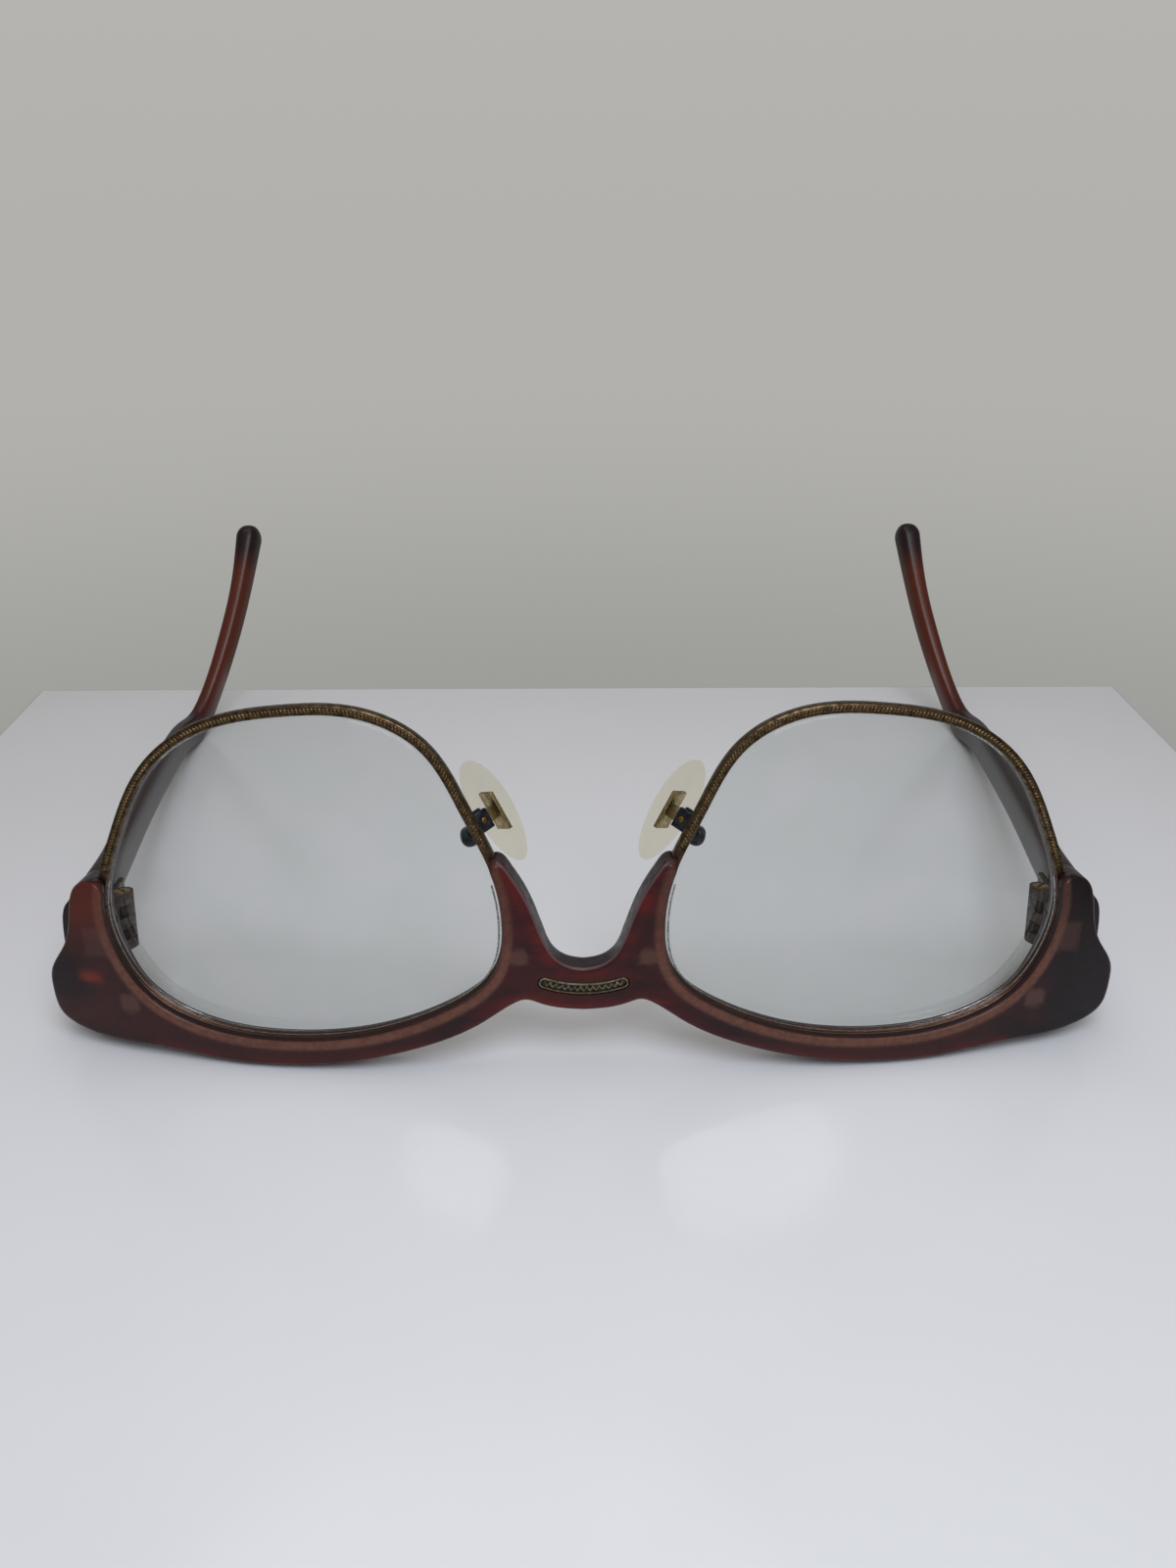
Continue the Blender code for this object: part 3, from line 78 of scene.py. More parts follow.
# Natural cubic spline through the points, as this many points at even steps.
def naturalSpline(points, count, closed=False):
    p = np.array(points, float)
    if closed:
        p = np.vstack([p, p[:1]])
    steps = np.linalg.norm(np.diff(p, axis=0), axis=1)
    t = runOf(p)
    n = len(p)
    a, b = np.zeros((n, n)), np.zeros_like(p)
    for i in range(1, n - 1):
        h0, h1 = steps[i - 1], steps[i]
        a[i, i - 1:i + 2] = h0, 2 * (h0 + h1), h1
        b[i] = 6 * ((p[i + 1] - p[i]) / h1 - (p[i] - p[i - 1]) / h0)
    if closed:
        h0, h1 = steps[-1], steps[0]
        a[0, 0], a[0, 1], a[0, n - 2] = 2 * (h0 + h1), h1, h0
        b[0] = 6 * ((p[1] - p[0]) / h1 - (p[0] - p[-2]) / h0)
        a[n - 1, n - 1], a[n - 1, 0] = 1, -1
    else:
        a[0, 0] = a[n - 1, n - 1] = 1
    m = np.linalg.solve(a, b)
    fine = np.linspace(0, t[-1], 60 * n)
    curve = splineAt(fine, t, p, m)
    run = runOf(curve)
    wanted = np.linspace(0, run[-1], count + 1 if closed else count)
    return splineAt(np.interp(wanted[:-1] if closed else wanted, run, fine), t, p, m)


def smoothStep(value, start, end):
    t = np.clip((np.asarray(value, float) - start) / (end - start), 0, 1)
    return t * t * (3 - 2 * t)


# Points at even steps round a loop; every column is carried along.
def evenly(loop, step):
    p = np.vstack([loop, loop[:1]])
    run = runOf(p[:, :2])
    wanted = np.linspace(0, run[-1], int(round(run[-1] / step)) + 1)[:-1]
    return np.stack([np.interp(wanted, run, p[:, k]) for k in range(p.shape[1])], 1)


# Unit directions out of a loop.
def outwardOf(loop):
    p = np.asarray(loop)[:, :2]
    along = unit(np.roll(p, -1, axis=0) - np.roll(p, 1, axis=0))
    after = np.roll(p, -1, axis=0)
    area = np.sum(p[:, 0] * after[:, 1] - p[:, 1] * after[:, 0])
    return np.stack([along[:, 1], -along[:, 0]], 1) * math.copysign(1, area)


# The lens opening on the +X side, as this many points, grown outwards.
def eyeCurve(count, outward=0.0):
    shape = [(eyeMiddle[0] + a * eye["width"] / 2, eyeMiddle[1] + b * eye["height"] / 2) for a, b in eyeShape]
    loop = naturalSpline(shape, count, closed=True)
    return loop + outwardOf(loop) * outward


eyeFine = eyeCurve(720)


# How far back the curved front face lies: a bowl over each lens, and a smooth bridge between them.
def faceDepth(x, v):
    across = np.abs(np.asarray(x, float))

    def bowl(a):
        out = a - eyeMiddle[0]
        return ((out ** 2 + (v - eyeMiddle[1]) ** 2) / (2 * face["radius"])
                + out * math.tan(face["wrap"]) - face["bowlForward"])

    start = face["wrapStart"]
    slope = (start - eyeMiddle[0]) / face["radius"] + math.tan(face["wrap"])
    return np.where(across >= start, bowl(across), bowl(start) - slope * (start ** 2 - across ** 2) / (2 * start))


def browThick(x):
    return face["thick"] + (face["endThick"] - face["thick"]) * smoothStep(np.abs(x), 55.7, 61.7)


# Places from the front's frame, in millimetres.
def leaned(x, n, v, moved=True):
    c, s = math.cos(leanAngle), math.sin(leanAngle)
    x, n, v = np.broadcast_arrays(*(np.asarray(k, float) for k in (x, n, v)))
    return np.stack([x, v * s + n * c, v * c - n * s], -1) + (stood if moved else 0)


def onFace(x, v, depth):
    x, v = np.asarray(x, float), np.asarray(v, float)
    return leaned(x, faceDepth(x, v) + depth, v)


# (x, v, depth behind the face) of places in millimetres.
def frontFrame(places):
    c, s = math.cos(leanAngle), math.sin(leanAngle)
    p = places - stood
    v, n = p[:, 1] * s + p[:, 2] * c, p[:, 1] * c - p[:, 2] * s
    return p[:, 0], v, n - faceDepth(p[:, 0], v)


# Place on one side of the lens opening, and the directions out of it and along it.
def eyeSide(height, temporal):
    near = (eyeFine[:, 0] > eyeMiddle[0]) == temporal
    i = int(np.argmin(np.where(near, np.abs(eyeFine[:, 1] - height), 1e3)))
    along = unit(eyeFine[(i + 1) % len(eyeFine)] - eyeFine[i - 1])
    out = np.array([-along[1], along[0]])
    if np.dot(out, eyeFine[i] - np.array(eyeMiddle)) < 0:
        out = -out
    return eyeFine[i], out, along


# Meshes

def linked(name, data):
    made = bpy.data.objects.new(name, data)
    bpy.context.scene.collection.objects.link(made)
    return made


# Object at the origin from places in millimetres, faced outwards and smooth below 35 degrees.
def meshOf(name, places, faces, marks=None):
    mesh = bpy.data.meshes.new(name)
    mesh.from_pydata([tuple(p) for p in np.asarray(places, float) * mm], [], [tuple(f) for f in faces])
    bm = bmesh.new()
    bm.from_mesh(mesh)
    bmesh.ops.recalc_face_normals(bm, faces=bm.faces)
    if bm.calc_volume(signed=True) < 0:
        bmesh.ops.reverse_faces(bm, faces=bm.faces)
    bm.to_mesh(mesh)
    bm.free()
    for mark, values in (marks or {}).items():
        setMark(mesh, mark, values)
    made = linked(name, mesh)
    smoothen(made)
    return made


def smoothen(piece, angle=35):
    piece.data.shade_smooth()
    piece.data.set_sharp_from_angle(angle=math.radians(angle))


def setMark(mesh, name, values):
    layer = mesh.attributes.get(name) or mesh.attributes.new(name, "FLOAT", "POINT")
    layer.data.foreach_set("value", np.asarray(values, np.float32))


def placesOf(mesh):
    flat = np.empty(len(mesh.vertices) * 3)
    mesh.vertices.foreach_get("co", flat)
    return flat.reshape(-1, 3) / mm


# Column of angles, once round.
def turns(count):
    return np.linspace(0, 2 * math.pi, count, endpoint=False)[:, None]


# Places and faces of rings of equal count, joined by quads.
def strips(rings, closed=False, caps=True):
    count, rows = len(rings[0]), len(rings)
    faces = []
    for r in range(rows if closed else rows - 1):
        a, b = r * count, ((r + 1) % rows) * count
        faces += [(a + i, a + (i + 1) % count, b + (i + 1) % count, b + i) for i in range(count)]
    if caps and not closed:
        faces += [tuple(range(count))[::-1], tuple(range((rows - 1) * count, rows * count))]
    return np.vstack(rings), faces


# Triangles inside a flat outline, through extra points inside it.
def filled(outline, extra=()):
    count = len(outline)
    points = [Vector(p) for p in (np.vstack([outline, extra]) if len(extra) else outline)]
    edges = [(i, (i + 1) % count) for i in range(count)]
    found = delaunay_2d_cdt(points, edges, [], 1, 1e-7)
    origin = [source[0] if source else -1 for source in found[3]]
    if min(origin) < 0:
        raise ValueError("the outline crosses itself")
    return [[origin[i] for i in f] for f in found[2]]


# Closed solid through loops at depths behind the face.
def slabParts(layers):
    rows = [onFace(loop[:, 0], loop[:, 1], depth(loop[:, 0]) if callable(depth) else depth)
            for loop, depth in layers]
    places, faces = strips(rows, caps=False)
    last = len(places) - len(rows[-1])
    faces += [f[::-1] for f in filled(layers[0][0])]
    faces += [[i + last for i in f] for f in filled(layers[-1][0])]
    return places, faces


def rodParts(start, end, radius, count=32):
    along = unit(end - start)
    across = np.array(Vector(along).orthogonal().normalized())
    turn = turns(count)
    ring = (across * np.cos(turn) + np.cross(along, across) * np.sin(turn)) * radius
    return strips([start + ring, end + ring])


# The piece's modifiers go into its own mesh.
def bake(piece):
    graph = bpy.context.evaluated_depsgraph_get()
    done = bpy.data.meshes.new_from_object(piece.evaluated_get(graph))
    piece.modifiers.clear()
    piece.data = done
    return piece


# Cut closed shapes out of a piece.
def carve(piece, cutters):
    for parts in cutters:
        tool = meshOf("tool", *parts)
        cut = piece.modifiers.new("cut", "BOOLEAN")
        cut.operation, cut.solver, cut.object = "DIFFERENCE", "MANIFOLD", tool
        bake(piece)
        bpy.data.objects.remove(tool)


# The CAD node's shape with its edges eased, for a small metal piece.
def refined(cadName, name, edge):
    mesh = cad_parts[cadName].data.copy()
    bm = bmesh.new()
    bm.from_mesh(mesh)
    bmesh.ops.remove_doubles(bm, verts=bm.verts, dist=0.002 * mm)
    bmesh.ops.dissolve_limit(bm, angle_limit=math.radians(1), verts=bm.verts, edges=bm.edges)
    bm.to_mesh(mesh)
    bm.free()
    mesh.materials.clear()
    made = linked(name, mesh)
    soft = made.modifiers.new("edges", "BEVEL")
    soft.width, soft.segments, soft.limit_method = edge * mm, 2, "ANGLE"
    soft.angle_limit, soft.harden_normals = math.radians(38), False
    bake(made)
    smoothen(made, 32)
    return made


# Materials

# Linear colour of an sRGB hex colour.
def paint(code):
    parts = [int(code[i:i + 2], 16) / 255 for i in (1, 3, 5)]
    return [c / 12.92 if c <= 0.04045 else ((c + 0.055) / 1.055) ** 2.4 for c in parts] + [1.0]


# Add a node, with its settings and what goes into its inputs: a socket or a constant.
def node(tree, kind, settings=None, links=None):
    made = tree.nodes.new(kind)
    for name, value in (settings or {}).items():
        setattr(made, name, value)
    for name, value in (links or {}).items():
        if isinstance(value, bpy.types.NodeSocket):
            tree.links.new(value, made.inputs[name])
        else:
            made.inputs[name].default_value = value
    return made


def newTree(name):
    made = bpy.data.materials.new(name)
    made.use_nodes = True
    made.node_tree.nodes.clear()
    return made, made.node_tree


def close(tree, shader):
    node(tree, "ShaderNodeOutputMaterial", None, {"Surface": shader.outputs[0]})


# Mix of two colours, each a socket or a colour.
def blendColour(tree, share, a, b):
    return node(tree, "ShaderNodeMix", {"data_type": "RGBA"}, {0: share, 6: a, 7: b}).outputs[2]


def maths(tree, way, *values):
    return node(tree, "ShaderNodeMath", {"operation": way}, dict(enumerate(values))).outputs[0]


# Noise with features of this many millimetres, from 0 to 1.
def mottle(tree, size, detail=3.0, low=0.35, high=0.65, stretch=(1, 1, 1)):
    spot = node(tree, "ShaderNodeTexCoord").outputs["Object"]
    spot = node(tree, "ShaderNodeMapping", None, {"Vector": spot, "Scale": stretch}).outputs[0]
    noise = node(tree, "ShaderNodeTexNoise", None,
                 {"Vector": spot, "Scale": 1 / (size * mm), "Detail": detail, "Roughness": 0.55})
    return node(tree, "ShaderNodeMapRange", {"interpolation_type": "SMOOTHSTEP"},
                {"Value": noise.outputs[0], "From Min": low, "From Max": high}).outputs[0]


def mark(tree, name):
    return node(tree, "ShaderNodeAttribute", {"attribute_name": name}).outputs["Fac"]


def ranged(tree, value, low, high, to=(0.0, 1.0)):
    return node(tree, "ShaderNodeMapRange", {"interpolation_type": "SMOOTHSTEP"},
                {"Value": value, "From Min": low, "From Max": high, "To Min": to[0], "To Max": to[1]}).outputs[0]


def bumped(tree, height, deep):
    return node(tree, "ShaderNodeBump", None,
                {"Height": height, "Strength": 1.0, "Distance": deep * mm}).outputs[0]


# The plastic is dark to wine; the others are for its marks of the same names. The glow colour is painted red light
# shining through thin plastic.
# The line colour is a painted highlight on the front edge.
browLook = {"dark": "#1b070b", "wine": "#2c0a0f", "painted_glow": "#5c130f", "amber": "#57221a", "band": "#70493a",
            "patch": "#5a3c33", "line": "#85757b", "side": "#241a20", "spot": "#7a2a18", "black": "#0c070c",
            "rough": 0.34}


# Tumble-polished cellulose acetate, gone slightly matt: dark wine, with a painted red glow where it is thin, standing
# in for light shining through it.
def browMaterial():
    made, tree = newTree("acetate_wine")
    cloud = mottle(tree, 4.0)
    colour = blendColour(tree, cloud, paint(browLook["dark"]), paint(browLook["wine"]))
    # The painted glow lies in long clouds across the bridge, as in rolled sheet.
    grainy = ranged(tree, mottle(tree, 5.0, 3.0, 0.3, 0.7, (0.6, 1.0, 2.2)), 0.0, 1.0, (0.25, 1.0))
    painted_glow = maths(tree, "MULTIPLY", mark(tree, "painted_glow"), grainy)
    colour = blendColour(tree, painted_glow, colour, paint(browLook["painted_glow"]))
    # The pale line among these marks is a painted highlight.
    for name in ("amber", "black", "spot", "patch", "side", "line"):
        colour = blendColour(tree, mark(tree, name), colour, paint(browLook[name]))
    # Fine streaks keep the band over the eyewire from looking printed.
    streak = ranged(tree, mottle(tree, 0.7, 2.0), 0.0, 1.0, (0.72, 1.0))
    colour = blendColour(tree, maths(tree, "MULTIPLY", mark(tree, "band"), streak), colour, paint(browLook["band"]))
    rough = ranged(tree, mottle(tree, 1.2), 0.0, 1.0, (browLook["rough"] - 0.05, browLook["rough"] + 0.08))
    # Real polishing haze is finer than a pixel, so this one is coarser.
    haze = mottle(tree, 0.5, 2.0, 0.2, 0.8)
    shader = node(tree, "ShaderNodeBsdfPrincipled", None, {
        "Base Color": colour, "Roughness": rough, "IOR": 1.48, "Specular IOR Level": 0.32,
        "Normal": bumped(tree, haze, 0.006)})
    close(tree, shader)
    return made


templeLook = {"butt": "#1c0c10", "side": "#2a1418", "tip": "#56210f", "edge": "#16090c", "end": "#1e0a0e",
              "rough": 0.32}


# Clear-coated acetate: smoky purple-brown along the temple, amber in the ear tip, wine at its end.
def templeMaterial():
    made, tree = newTree("acetate_amber")
    run = mark(tree, "run")
    cloud = mottle(tree, 5.0, 3.0, 0.3, 0.7, (1, 0.35, 0.35))
    colour = blendColour(tree, cloud, paint(templeLook["butt"]), paint(templeLook["side"]))
    amber = ranged(tree, run, 0.66, 0.78)
    colour = blendColour(tree, amber, colour, paint(templeLook["tip"]))
    colour = blendColour(tree, ranged(tree, run, 0.93, 0.985), colour, paint(templeLook["end"]))
    colour = blendColour(tree, mark(tree, "rim"), colour, paint(templeLook["edge"]))
    fleck = mottle(tree, 0.6, 2.0, 0.2, 0.8)
    shader = node(tree, "ShaderNodeBsdfPrincipled", None, {
        "Base Color": colour, "Roughness": templeLook["rough"], "IOR": 1.48, "Specular IOR Level": 0.35,
        "Subsurface Weight": 0.12, "Subsurface Radius": (0.8, 0.3, 0.15), "Subsurface Scale": 1.0 * mm,
        "Normal": bumped(tree, fleck, 0.005)})
    close(tree, shader)
    return made


# Bright colour, tarnish, roughness and the tarnish's size.
metalLook = {
    # Antiqued brass plating: olive bronze that goes dark in its hollows.
    "antique_brass": ("#66543e", "#352b20", 0.34, 0.6),
    # The same plating made paler, a painted highlight on the rope's raised grains.
    "pale_brass_highlight": ("#867050", "#4e402c", 0.32, 0.6),
    # The ground of an engraving, left black with tarnish.
    "engraved_brass": ("#443e34", "#1f1c17", 0.45, 0.4),
    # The raised part of the engraving, grey-green bronze.
    "inlay_bronze": ("#8a826c", "#57503f", 0.36, 0.5),
    # Blued steel, nearly black with a cold sheen.
    "gunmetal": ("#454a55", "#20232b", 0.36, 1.0),
    # Brown-plated hinge steel, dull from wear.
    "hinge_steel": ("#4a3c33", "#2b221d", 0.38, 0.7),
    # Gold-plated screw, the brightest metal of the frame.
    "gold_screw": ("#b08a4c", "#6f5228", 0.28, 0.5),
    # Pale nickel silver plate inside the pad.
    "pad_metal": ("#b9a983", "#8c7c5a", 0.28, 0.8),
}
coveredMetal = "#5a4036"


# Plated metal: a worn bright colour over a darker tarnish, finely brushed, and brown under plastic.
def metalMaterial(name):
    bright, dark, rough, size = metalLook[name]
    made, tree = newTree(name)
    tarnish = mottle(tree, size, 4.0, 0.35, 0.7)
    colour = blendColour(tree, tarnish, paint(bright), paint(dark))
    colour = blendColour(tree, mark(tree, "covered"), colour, paint(coveredMetal))
    shader = node(tree, "ShaderNodeBsdfPrincipled", None, {
        "Base Color": colour, "Metallic": 1.0,
        "Roughness": ranged(tree, tarnish, 0.0, 1.0, (rough - 0.06, rough + 0.12)),
        "Normal": bumped(tree, mottle(tree, 0.25, 3.0, 0.2, 0.8), 0.008)})
    close(tree, shader)
    return made


lensLook = {"tints": ("#f7f8f8", "#f5f7f6"), "gloss": 0.42, "ground": ("#8f918d", "#c4c6c2")}


# Clear demo lens: see-through, with a thin reflection that grows at a glancing angle.
def lensMaterial():
    made, tree = newTree("demo_lens")
    tint = blendColour(tree, mottle(tree, 9.0), *map(paint, lensLook["tints"]))
    through = node(tree, "ShaderNodeBsdfTransparent", None, {"Color": tint})
    gloss = node(tree, "ShaderNodeBsdfGlossy", None, {"Color": paint("#ffffff"), "Roughness": 0.04})
    share = node(tree, "ShaderNodeFresnel", None, {"IOR": 1.45}).outputs[0]
    share = maths(tree, "MULTIPLY", share, lensLook["gloss"])
    close(tree, node(tree, "ShaderNodeMixShader", None, {0: share, 1: through.outputs[0], 2: gloss.outputs[0]}))
    return made


# Ground edge of a lens: pale, frosted and a little glittery.
def lensEdgeMaterial():
    made, tree = newTree("ground_edge")
    sparkle = mottle(tree, 0.35, 2.0, 0.4, 0.6)
    colour = blendColour(tree, sparkle, *map(paint, lensLook["ground"]))
    shader = node(tree, "ShaderNodeBsdfPrincipled", None, {
        "Base Color": colour, "Roughness": 0.5, "IOR": 1.5,
        "Normal": bumped(tree, sparkle, 0.02)})
    close(tree, shader)
    return made


padLook = {"tints": ("#f8f1cf", "#efe4b4"), "clear": "#f9f7ee"}


# Clear silicone pad, yellowed with age.
def padMaterial():
    made, tree = newTree("pad_silicone")
    colour = blendColour(tree, mottle(tree, 3.0), *map(paint, padLook["tints"]))
    body = node(tree, "ShaderNodeBsdfPrincipled", None, {
        "Base Color": colour, "Roughness": 0.06, "IOR": 1.41, "Transmission Weight": 0.97,
        "Normal": bumped(tree, mottle(tree, 1.0), 0.01)})
    # Lamps reach the floor and the metal plate through the pad.
    clear = node(tree, "ShaderNodeBsdfTransparent", None, {"Color": paint(padLook["clear"])})
    ray = node(tree, "ShaderNodeLightPath").outputs["Is Shadow Ray"]
    # Seen nearly edge-on, it is less clear.
    flat = node(tree, "ShaderNodeLayerWeight", None, {"Blend": 0.5}).outputs["Facing"]
    share = maths(tree, "MAXIMUM", ray, ranged(tree, flat, 0.9, 1.0, (0.98, 0.4)))
    close(tree, node(tree, "ShaderNodeMixShader", None, {0: share, 1: body.outputs[0], 2: clear.outputs[0]}))
    return made


floorLook = {"tints": ("#eceef2", "#eaecf0"), "rough": 0.16}


# White lacquered card: pale, slightly cool, with a soft reflection.
def floorMaterial():
    made, tree = newTree("lacquered_card")
    colour = blendColour(tree, mottle(tree, 40.0), *map(paint, floorLook["tints"]))
    shader = node(tree, "ShaderNodeBsdfPrincipled", None, {
        "Base Color": colour, "Roughness": floorLook["rough"], "IOR": 1.45,
        "Normal": bumped(tree, mottle(tree, 8.0), 0.0015)})
    close(tree, shader)
    return made


materials = {name: metalMaterial(name) for name in metalLook}
materials.update({"brow": browMaterial(), "temple": templeMaterial(), "lens": lensMaterial(),
                  "lensEdge": lensEdgeMaterial(), "pad": padMaterial(), "floor": floorMaterial()})
print("materials")


def wear(piece, *names):
    piece.data.materials.clear()
    for name in names:
        piece.data.materials.append(materials[name])


# The piece rides on its body and stands for its CAD nodes.
def hand(piece, body, slotName, *nodes):
    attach(piece, body)
    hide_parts(*nodes)


# The wearer's right side, at +X, is built, and mirrored for the left.
sides = (("right", 1), ("left", -1))
mirror = np.array([-1, 1, 1])


def forSide(parts, sign):
    return parts if sign > 0 else (parts[0] * mirror, [f[::-1] for f in parts[1]])


# Brow

brow = {"frontRound": 0.45, "rearRound": 0.62, "splay": 0.35, "nasalTip": 27.9, "temporalTip": 24.0,
        "bridgeTop": 13.1, "bridgeLow": 7.2, "reach": 9.05, "depth": 3.75, "step": 0.5, "bandWide": 1.35}
rim = {"wide": 1.25, "deep": 1.6, "setback": 1.3, "corner": 0.25, "gap": 0.3, "grooveDeep": 0.45,
       "grooveWide": 0.9, "fit": 0.1}


# Outline from the bridge's top round to its underside: x, v and how far the rear is splayed.
def browHalf():
    tipNose = eyeSide(brow["nasalTip"], False)[0]
    top, tip, inner = brow["bridgeTop"], brow["nasalTip"], eye["inner"]
    nose = naturalSpline([
        (0, top), (inner * 0.17, top + 0.3), (inner * 0.34, top + 1.3), (inner * 0.46, top + 3),
        (inner - 4, tip - 8), (inner - 2, tip - 3.6), (tipNose[0] - 2.5, tip - 0.9),
        (tipNose[0] - 1.9, tip - 0.05), (tipNose[0] - 0.9, tip + 0.2)], 90)
    splay = brow["splay"] * smoothStep(nose[:, 1], top + 1, top + 5)
    lens = eyeCurve(500, 0.15)
    limit = np.where(lens[:, 0] < eyeMiddle[0], tip - 0.25, brow["temporalTip"])
    lens = lens[lens[:, 1] < limit]
    lens = lens[np.argsort(np.arctan2(lens[:, 0] - eyeMiddle[0], eyeMiddle[1] + 20 - lens[:, 1]))]
    tipTemple = eyeSide(brow["temporalTip"], True)[0]
    out, low, end = eye["outer"] + brow["reach"], eye["low"] - brow["depth"], brow["temporalTip"]
    under = [(0.893, 1.4), (0.698, 0.15), (0.558, 0.0), (0.421, 0.5), (0.234, 2.5), (0.048, 6.4)]
    deep = brow["bridgeLow"]
    edge = naturalSpline([
        (tipTemple[0] + 1.7, end - 0.2), (out - 5.3, end - 1.3), (out - 4.3, end - 3.6), (out - 3.6, 16.8),
        (out - 2.5, 14.1), (out - 1.1, 12.1), (out - 0.15, 10.2), (out, 7.7), (out - 0.6, 4.4),
        (out - 3.8, 2.2)] + [(inner + a * eye["width"], low + h) for a, h in under] + [
        (inner - 1.5, deep + 1.15), (inner - 2.9, deep + 1.6), (inner - 4.2, deep + 1.15),
        (inner * 0.34, deep + 0.35), (0, deep)], 260)
    return np.vstack([np.column_stack([nose, splay]), np.column_stack([lens, np.zeros(len(lens))]),
                      np.column_stack([edge, np.zeros(len(edge))])])


# The whole outline: x, v and the sideways splay of the rear.
def browOutline():
    half = browHalf()
    loop = np.vstack([half, half[::-1][1:-1] * mirror])
    loop[:, 2] *= -np.sign(loop[:, 0])
    loop = evenly(loop, brow["step"])
    # The four tips are rounded, so that the edges can be eased there without crossing.
    return relaxed(loop, 10, 0.06)


# The loop smoothed near the brow's four tips, and this much elsewhere.
def relaxed(loop, times, least=0.0):
    tips = [eyeSide(brow["nasalTip"], False)[0], eyeSide(brow["temporalTip"], True)[0]]
    spot = np.stack([np.abs(loop[:, 0]), loop[:, 1]], 1)
    near = np.min([np.linalg.norm(spot - tip, axis=1) for tip in tips], axis=0)
    share = (least + (1 - least) * (1 - smoothStep(near, 1.6, 3.2)))[:, None]
    for _ in range(times):
        soft = (np.roll(loop, 1, axis=0) + np.roll(loop, -1, axis=0)) * 0.5
        loop = loop + (soft - loop) * 0.5 * share
    return loop


# The loop moved inwards in small steps, so that the tight tips don't fold over.
def insetLoop(loop, distance):
    for _ in range(6):
        loop = relaxed(loop - outwardOf(loop) * distance / 6, 4 if distance else 0)
    return loop


# Distance from each point to the nearest point of a line.
def nearest(points, line, chunk=2000):
    return np.concatenate([np.min(np.linalg.norm(points[i:i + chunk, None, :2] - line[None, :, :2], axis=2), axis=1)
                           for i in range(0, len(points), chunk)])


# Rings near the outline and a grid inside it, as extra points of a cap.
def insidePoints(loop, step):
    found = []
    out = outwardOf(loop)
    for inset in np.arange(step, 2.4, 0.3):
        ring = loop[:, :2] - out * inset
        found.append(ring[nearest(ring, loop) > inset - 0.06])
    low, high = loop[:, :2].min(0), loop[:, :2].max(0)
    grid = np.stack(np.meshgrid(*(np.arange(low[k], high[k], 0.6) for k in (0, 1))), -1).reshape(-1, 2)
    grid = grid[nearest(grid, loop) > 2.5]
    points = np.vstack(found + [grid[insideOf(grid, loop)]])
    # Points that lie almost on each other would make slivers.
    keys = np.round(points / 0.16).astype(int)
    _, first = np.unique(keys, axis=0, return_index=True)
    return points[np.sort(first)]


# Which points lie inside a loop.
def insideOf(points, loop):
    x, v = points[:, 0][:, None], points[:, 1][:, None]
    a, b = loop[:, :2], np.roll(loop[:, :2], -1, axis=0)
    crossing = (a[:, 1] > v) != (b[:, 1] > v)
    gap = np.where(np.abs(b[:, 1] - a[:, 1]) < 1e-9, 1e-9, b[:, 1] - a[:, 1])
    return np.sum(crossing & (x < (b[:, 0] - a[:, 0]) * (v - a[:, 1]) / gap + a[:, 0]), axis=1) % 2 == 1


# Loops from the front edge round to the rear edge, and a dense cap on each side.
def browSolid():
    loop = browOutline()
    thick = browThick(loop[:, 0])
    rings, flats = [], []
    quarter = np.linspace(0, math.pi / 2, 5)
    front, rear = brow["frontRound"], brow["rearRound"]
    steps = [(front * (1 - math.sin(a)), lambda t, a=a: front * (1 - math.cos(a)) + 0 * t) for a in quarter]
    steps += [(0.0, lambda t, k=k: front + (t - rear - front) * k) for k in (0.25, 0.5, 0.75)]
    steps += [(rear * (1 - math.cos(a)), lambda t, a=a: t - rear * (1 - math.sin(a))) for a in quarter]
    for inset, depth in steps:
        deep = depth(thick)
        flat = insetLoop(loop[:, :2], inset)
        flat[:, 0] += loop[:, 2] * deep / thick
        flats.append(flat)
        rings.append(onFace(flat[:, 0], flat[:, 1], deep))
    places, faces = strips(rings, caps=False)
    for flat, first, backwards in ((flats[0], 0, True), (flats[-1], len(places) - len(loop), False)):
        extra = insidePoints(flat, 0.35)
        start, count = len(places), len(flat)
        deep = browThick(extra[:, 0]) if not backwards else 0.0
        places = np.vstack([places, onFace(extra[:, 0], extra[:, 1], deep)])
        for f in filled(flat, extra):
            f = [first + i if i < count else start + i - count for i in f]
            faces.append(f[::-1] if backwards else f)
    return places, faces


# The groove that the eyewire lies in.
def rimChannel(sign):
    inside, outside = eyeCurve(300, -1.0), eyeCurve(300, rim["wide"] + rim["fit"])
    near, far = rim["setback"] - rim["fit"], rim["setback"] + rim["deep"] + rim["fit"]
    rings = [onFace(*np.array(p).T, np.array([near, near, far, far]))
             for p in ([a, b, b, a] for a, b in zip(inside, outside))]
    return forSide(strips(rings, closed=True), sign)


# Four corners at these distances out of the lens opening and along it.
def patchOf(side, out, along):
    place, outward, run = side
    return np.array([place + outward * a + run * b for a, b in
                     ((out[0], along[0]), (out[1], along[0]), (out[1], along[1]), (out[0], along[1]))])


hinge = {"height": 15.4, "plateWide": 4.6, "plateHigh": 5.0, "corner": 0.6, "butt": 5.9, "pin": 60.4,
         "pinBehind": 3.33}
lugs = [{"long": 1.9, "height": 15.2, "temporal": False, "shows": 1.15},
        {"long": 3.0, "height": 9.0, "temporal": True, "shows": 1.35}]
# Pockets in the back of the brow. Their cutters end at "past", behind the plastic.
pocket = {"lockOut": 1.7, "lockHalf": 1.6, "lockFrom": 1.21, "plateDeep": 1.1, "play": 0.1, "past": 7.2,
          "screwDeep": 0.7, "screwRadius": 1.0}


def lugScrew(lug):
    place, outward, _ = eyeSide(lug["height"], lug["temporal"])
    return place + outward * (rim["wide"] + 0.05 + lug["long"] * 0.55)


